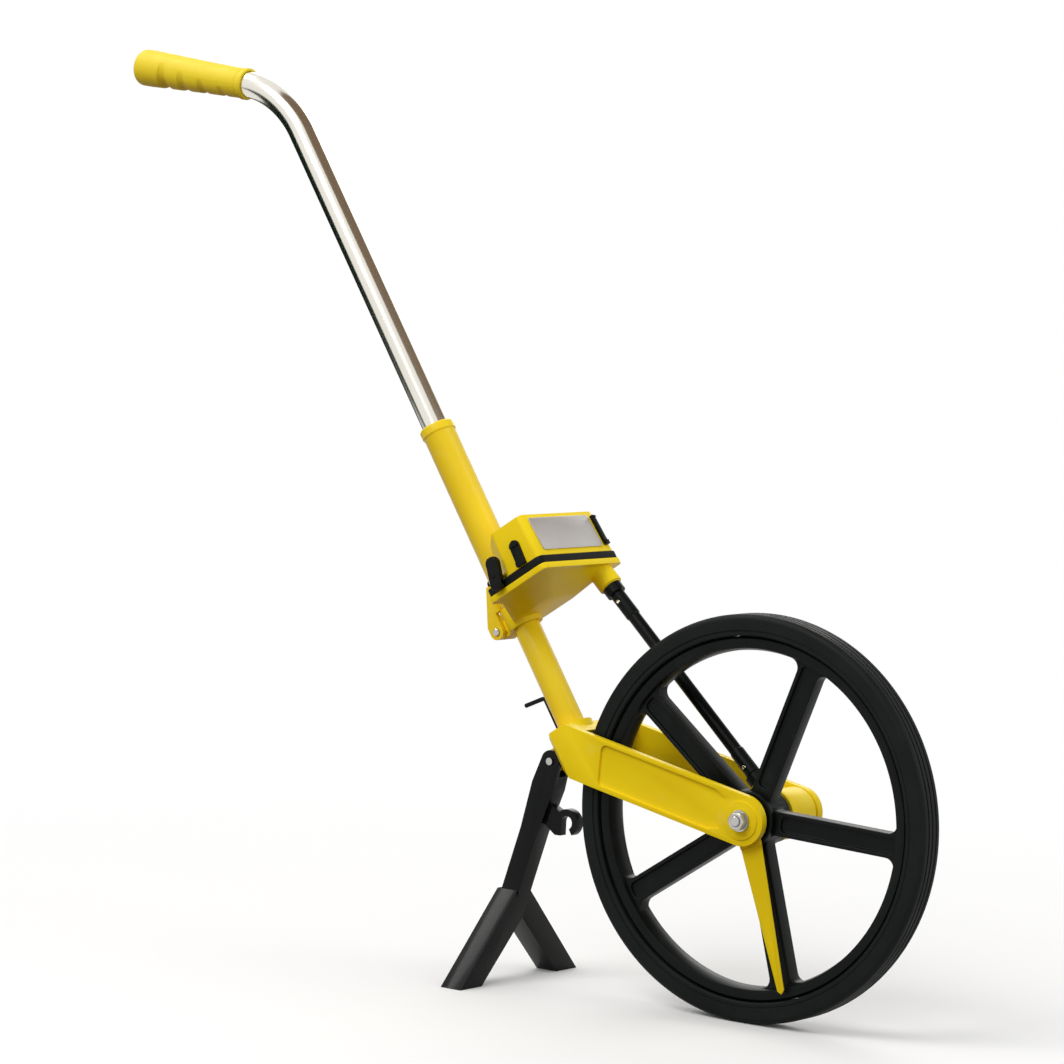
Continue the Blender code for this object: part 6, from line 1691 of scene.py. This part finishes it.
@dataclass
class Studio:
    """Pale floor, soft lamps, a white surround and the cards that gloss and metal see."""

    floor_half: float = 8.0
    floor_seen: Colour = (0.90, 0.90, 0.90)
    floor_bounce: Colour = (0.12, 0.07, 0.045)
    fade: tuple[float, float] = (0.35, 1.5)
    daylight: float = 0.68
    lamp_tint: Colour = (1.0, 0.985, 0.96)

    def seen(self, net: Net) -> Wire:
        """1 for what the camera sees directly or in metal and glass, and 0 for light."""
        path = net.add("ShaderNodeLightPath", {}, {})
        names = ("Is Camera Ray", "Is Glossy Ray", "Is Transmission Ray")
        rays = [Wire(net, path.outputs[name]) for name in names]
        return net.add("ShaderNodeClamp", {}, {0: rays[0] + rays[1] + rays[2], 1: 0.0, 2: 1.0}, 0)

    def world(self) -> None:
        """Lights the object softly, and shows white to the camera and in metal and glass."""
        world = bpy.data.worlds.new("white_surround")
        bpy.context.scene.world = world
        world.use_nodes = True
        world.node_tree.nodes.clear()
        net = Net(world.node_tree)
        strength = self.seen(net) * (1.0 - self.daylight) + self.daylight
        glow = net.add("ShaderNodeBackground", {}, {"Color": (1, 1, 1, 1), "Strength": strength}, 0)
        end = net.add("ShaderNodeOutputWorld", {}, {})
        net.tree.links.new(glow.socket, end.inputs["Surface"])

    def floor(self) -> bpy.types.Object:
        """Makes the floor: a pale ground that the camera sees as white outside the shadow."""
        half = self.floor_half
        mesh = bpy.data.meshes.new("pale_floor")
        corners = [(-half, -half, 0), (half, -half, 0), (half, half, 0), (-half, half, 0)]
        mesh.from_pydata(corners, [], [(0, 1, 2, 3)])
        made = bpy.data.objects.new("pale_floor", mesh)
        bpy.context.scene.collection.objects.link(made)
        finish = bpy.data.materials.new("pale_floor_paint")
        finish.use_nodes = True
        net = Net(finish.node_tree)
        net.tree.nodes.clear()
        seen = self.seen(net)
        place = net.add("ShaderNodeTexCoord", {}, {}, "Object")
        distance = net.add("ShaderNodeVectorMath", {"operation": "LENGTH"}, {0: place}, "Value")
        tone = net.blend(seen, self.floor_bounce, self.floor_seen)
        ground = net.add("ShaderNodeBsdfDiffuse", {}, {"Color": tone}, 0)
        white = net.add("ShaderNodeEmission", {}, {"Color": (1, 1, 1, 1), "Strength": 1.0}, 0)
        share = net.step(distance, *self.fade) * seen
        mixed = net.add("ShaderNodeMixShader", {}, {0: share, 1: ground, 2: white}, 0)
        end = net.add("ShaderNodeOutputMaterial", {}, {})
        net.tree.links.new(mixed.socket, end.inputs["Surface"])
        mesh.materials.append(finish)
        return made

    def card(
        self, name: str, facing: Facing, centre: tuple[float, float, float], size: Point, shade: Colour
    ) -> bpy.types.Object:
        """A card that only metal and gloss can see.

        Args:
            name: The card's name.
            facing: The way it faces.
            centre: Its middle.
            size: Its width and height.
            shade: Its colour.

        Returns:
            The card.
        """
        wide, high = (length / 2 for length in size)
        signs = ((-1, -1), (1, -1), (1, 1), (-1, 1))
        corners = [Vector((x * wide, y * high, 0)) for x, y in signs]
        place = Matrix.Translation(centre) @ spin(*facing.value)
        mesh = bpy.data.meshes.new(name)
        mesh.from_pydata([place @ corner for corner in corners], [], [(0, 1, 2, 3)])
        made = bpy.data.objects.new(name, mesh)
        bpy.context.scene.collection.objects.link(made)
        made.visible_camera = False
        made.visible_diffuse = False
        made.visible_shadow = False
        made.visible_transmission = False
        finish = bpy.data.materials.new(f"{name}_tone")
        finish.use_nodes = True
        net = Net(finish.node_tree)
        net.tree.nodes.clear()
        glow = net.add("ShaderNodeEmission", {}, {"Color": (*shade, 1.0), "Strength": 1.0}, 0)
        end = net.add("ShaderNodeOutputMaterial", {}, {})
        net.tree.links.new(glow.socket, end.inputs["Surface"])
        mesh.materials.append(finish)
        return made

    def lamp(self, name: str, centre: tuple[float, float, float], size: float, power: float) -> None:
        """A soft square lamp that looks at the housing.

        Args:
            name: The lamp's name.
            centre: Its place.
            size: Its side.
            power: Its power in watts.
        """
        light = bpy.data.lights.new(name, "AREA")
        light.size = size
        light.energy = power
        light.color = self.lamp_tint
        made = bpy.data.objects.new(name, light)
        made.location = centre
        aim = Vector((-0.1, 0, 0.32)) - Vector(centre)
        made.rotation_euler = aim.to_track_quat("-Z", "Y").to_euler()
        bpy.context.scene.collection.objects.link(made)

    def build(self) -> None:
        """Sets the world, the floor and the lamps."""
        self.world()
        self.lamp("high_key", (-0.6, -1.9, 2.3), 1.6, 36.0)
        self.lamp("left_fill", (-1.2, 2.0, 1.5), 1.6, 15.0)
        self.lamp("front_fill", (2.2, 0.6, 1.4), 1.4, 12.0)
        dark = (0.008, 0.016, 0.010)
        tan = (0.21, 0.15, 0.10)
        cards = [
            self.card("dark_rear_card", Facing.FRONT, (-1.9, 0.5, 0.40), (0.80, 3.4), dark),
            self.card("tan_high_card", Facing.DOWN, (0.6, 1.3, 2.6), (2.2, 4.4), tan),
            self.card("bright_high_card", Facing.DOWN, (-1.75, -0.3, 2.15), (1.0, 1.0), (7.0, 7.0, 6.8)),
            self.card("dark_front_card", Facing.FRONT, (2.9, -0.4, 0.3), (0.5, 2.4), dark),
            self.card("dark_left_card", Facing.RIGHT, (-0.3, 2.8, 0.3), (2.4, 0.5), dark),
        ]
        self.floor()


@dataclass
class PhotoCamera:
    """The camera at the photograph's angle, from the fit on the object's known points."""

    azimuth: float = math.radians(36.1629)
    elevation: float = math.radians(4.2755)
    roll: float = math.radians(2.6198)
    lens: float = 142.105
    centre: tuple[float, float, float] = (1758.14 * MM, -2716.51 * MM, 455.78 * MM)

    def build(self) -> None:
        """Makes the camera and gives it to the scene."""
        turn, tilt, roll = self.azimuth, self.elevation, self.roll
        right = Vector((math.cos(turn), math.sin(turn), 0))
        rise = Vector((-math.sin(turn) * math.sin(tilt), math.cos(turn) * math.sin(tilt), math.cos(tilt)))
        back = right.cross(rise)
        across = right * math.cos(roll) + rise * math.sin(roll)
        up = rise * math.cos(roll) - right * math.sin(roll)
        place = Matrix((across, up, back)).transposed().to_4x4()
        place.translation = Vector(self.centre) + Vector((0, 0, AXLE_HEIGHT))
        lens = bpy.data.cameras.new("photo_camera")
        lens.sensor_fit = "HORIZONTAL"
        lens.sensor_width = 36.0
        lens.lens = self.lens
        lens.clip_start = 0.1
        lens.clip_end = 60.0
        camera = bpy.data.objects.new("photo_camera", lens)
        camera.matrix_world = place
        bpy.context.scene.collection.objects.link(camera)
        bpy.context.scene.camera = camera


def main() -> None:
    """Builds the sub-assemblies in order, then the studio."""
    logging.basicConfig(level=logging.INFO)
    bpy.context.scene.view_settings.view_transform = "Standard"
    tools = Repeater()
    drive = Drive()
    Wheel(tools).build()
    Fork().build()
    drive.build()
    Housing(drive).build()
    Counter(tools).build()
    Handle(tools).build()
    Stand(tools).build()
    Studio().build()
    PhotoCamera().build()


if __name__ == "__main__":
    main()
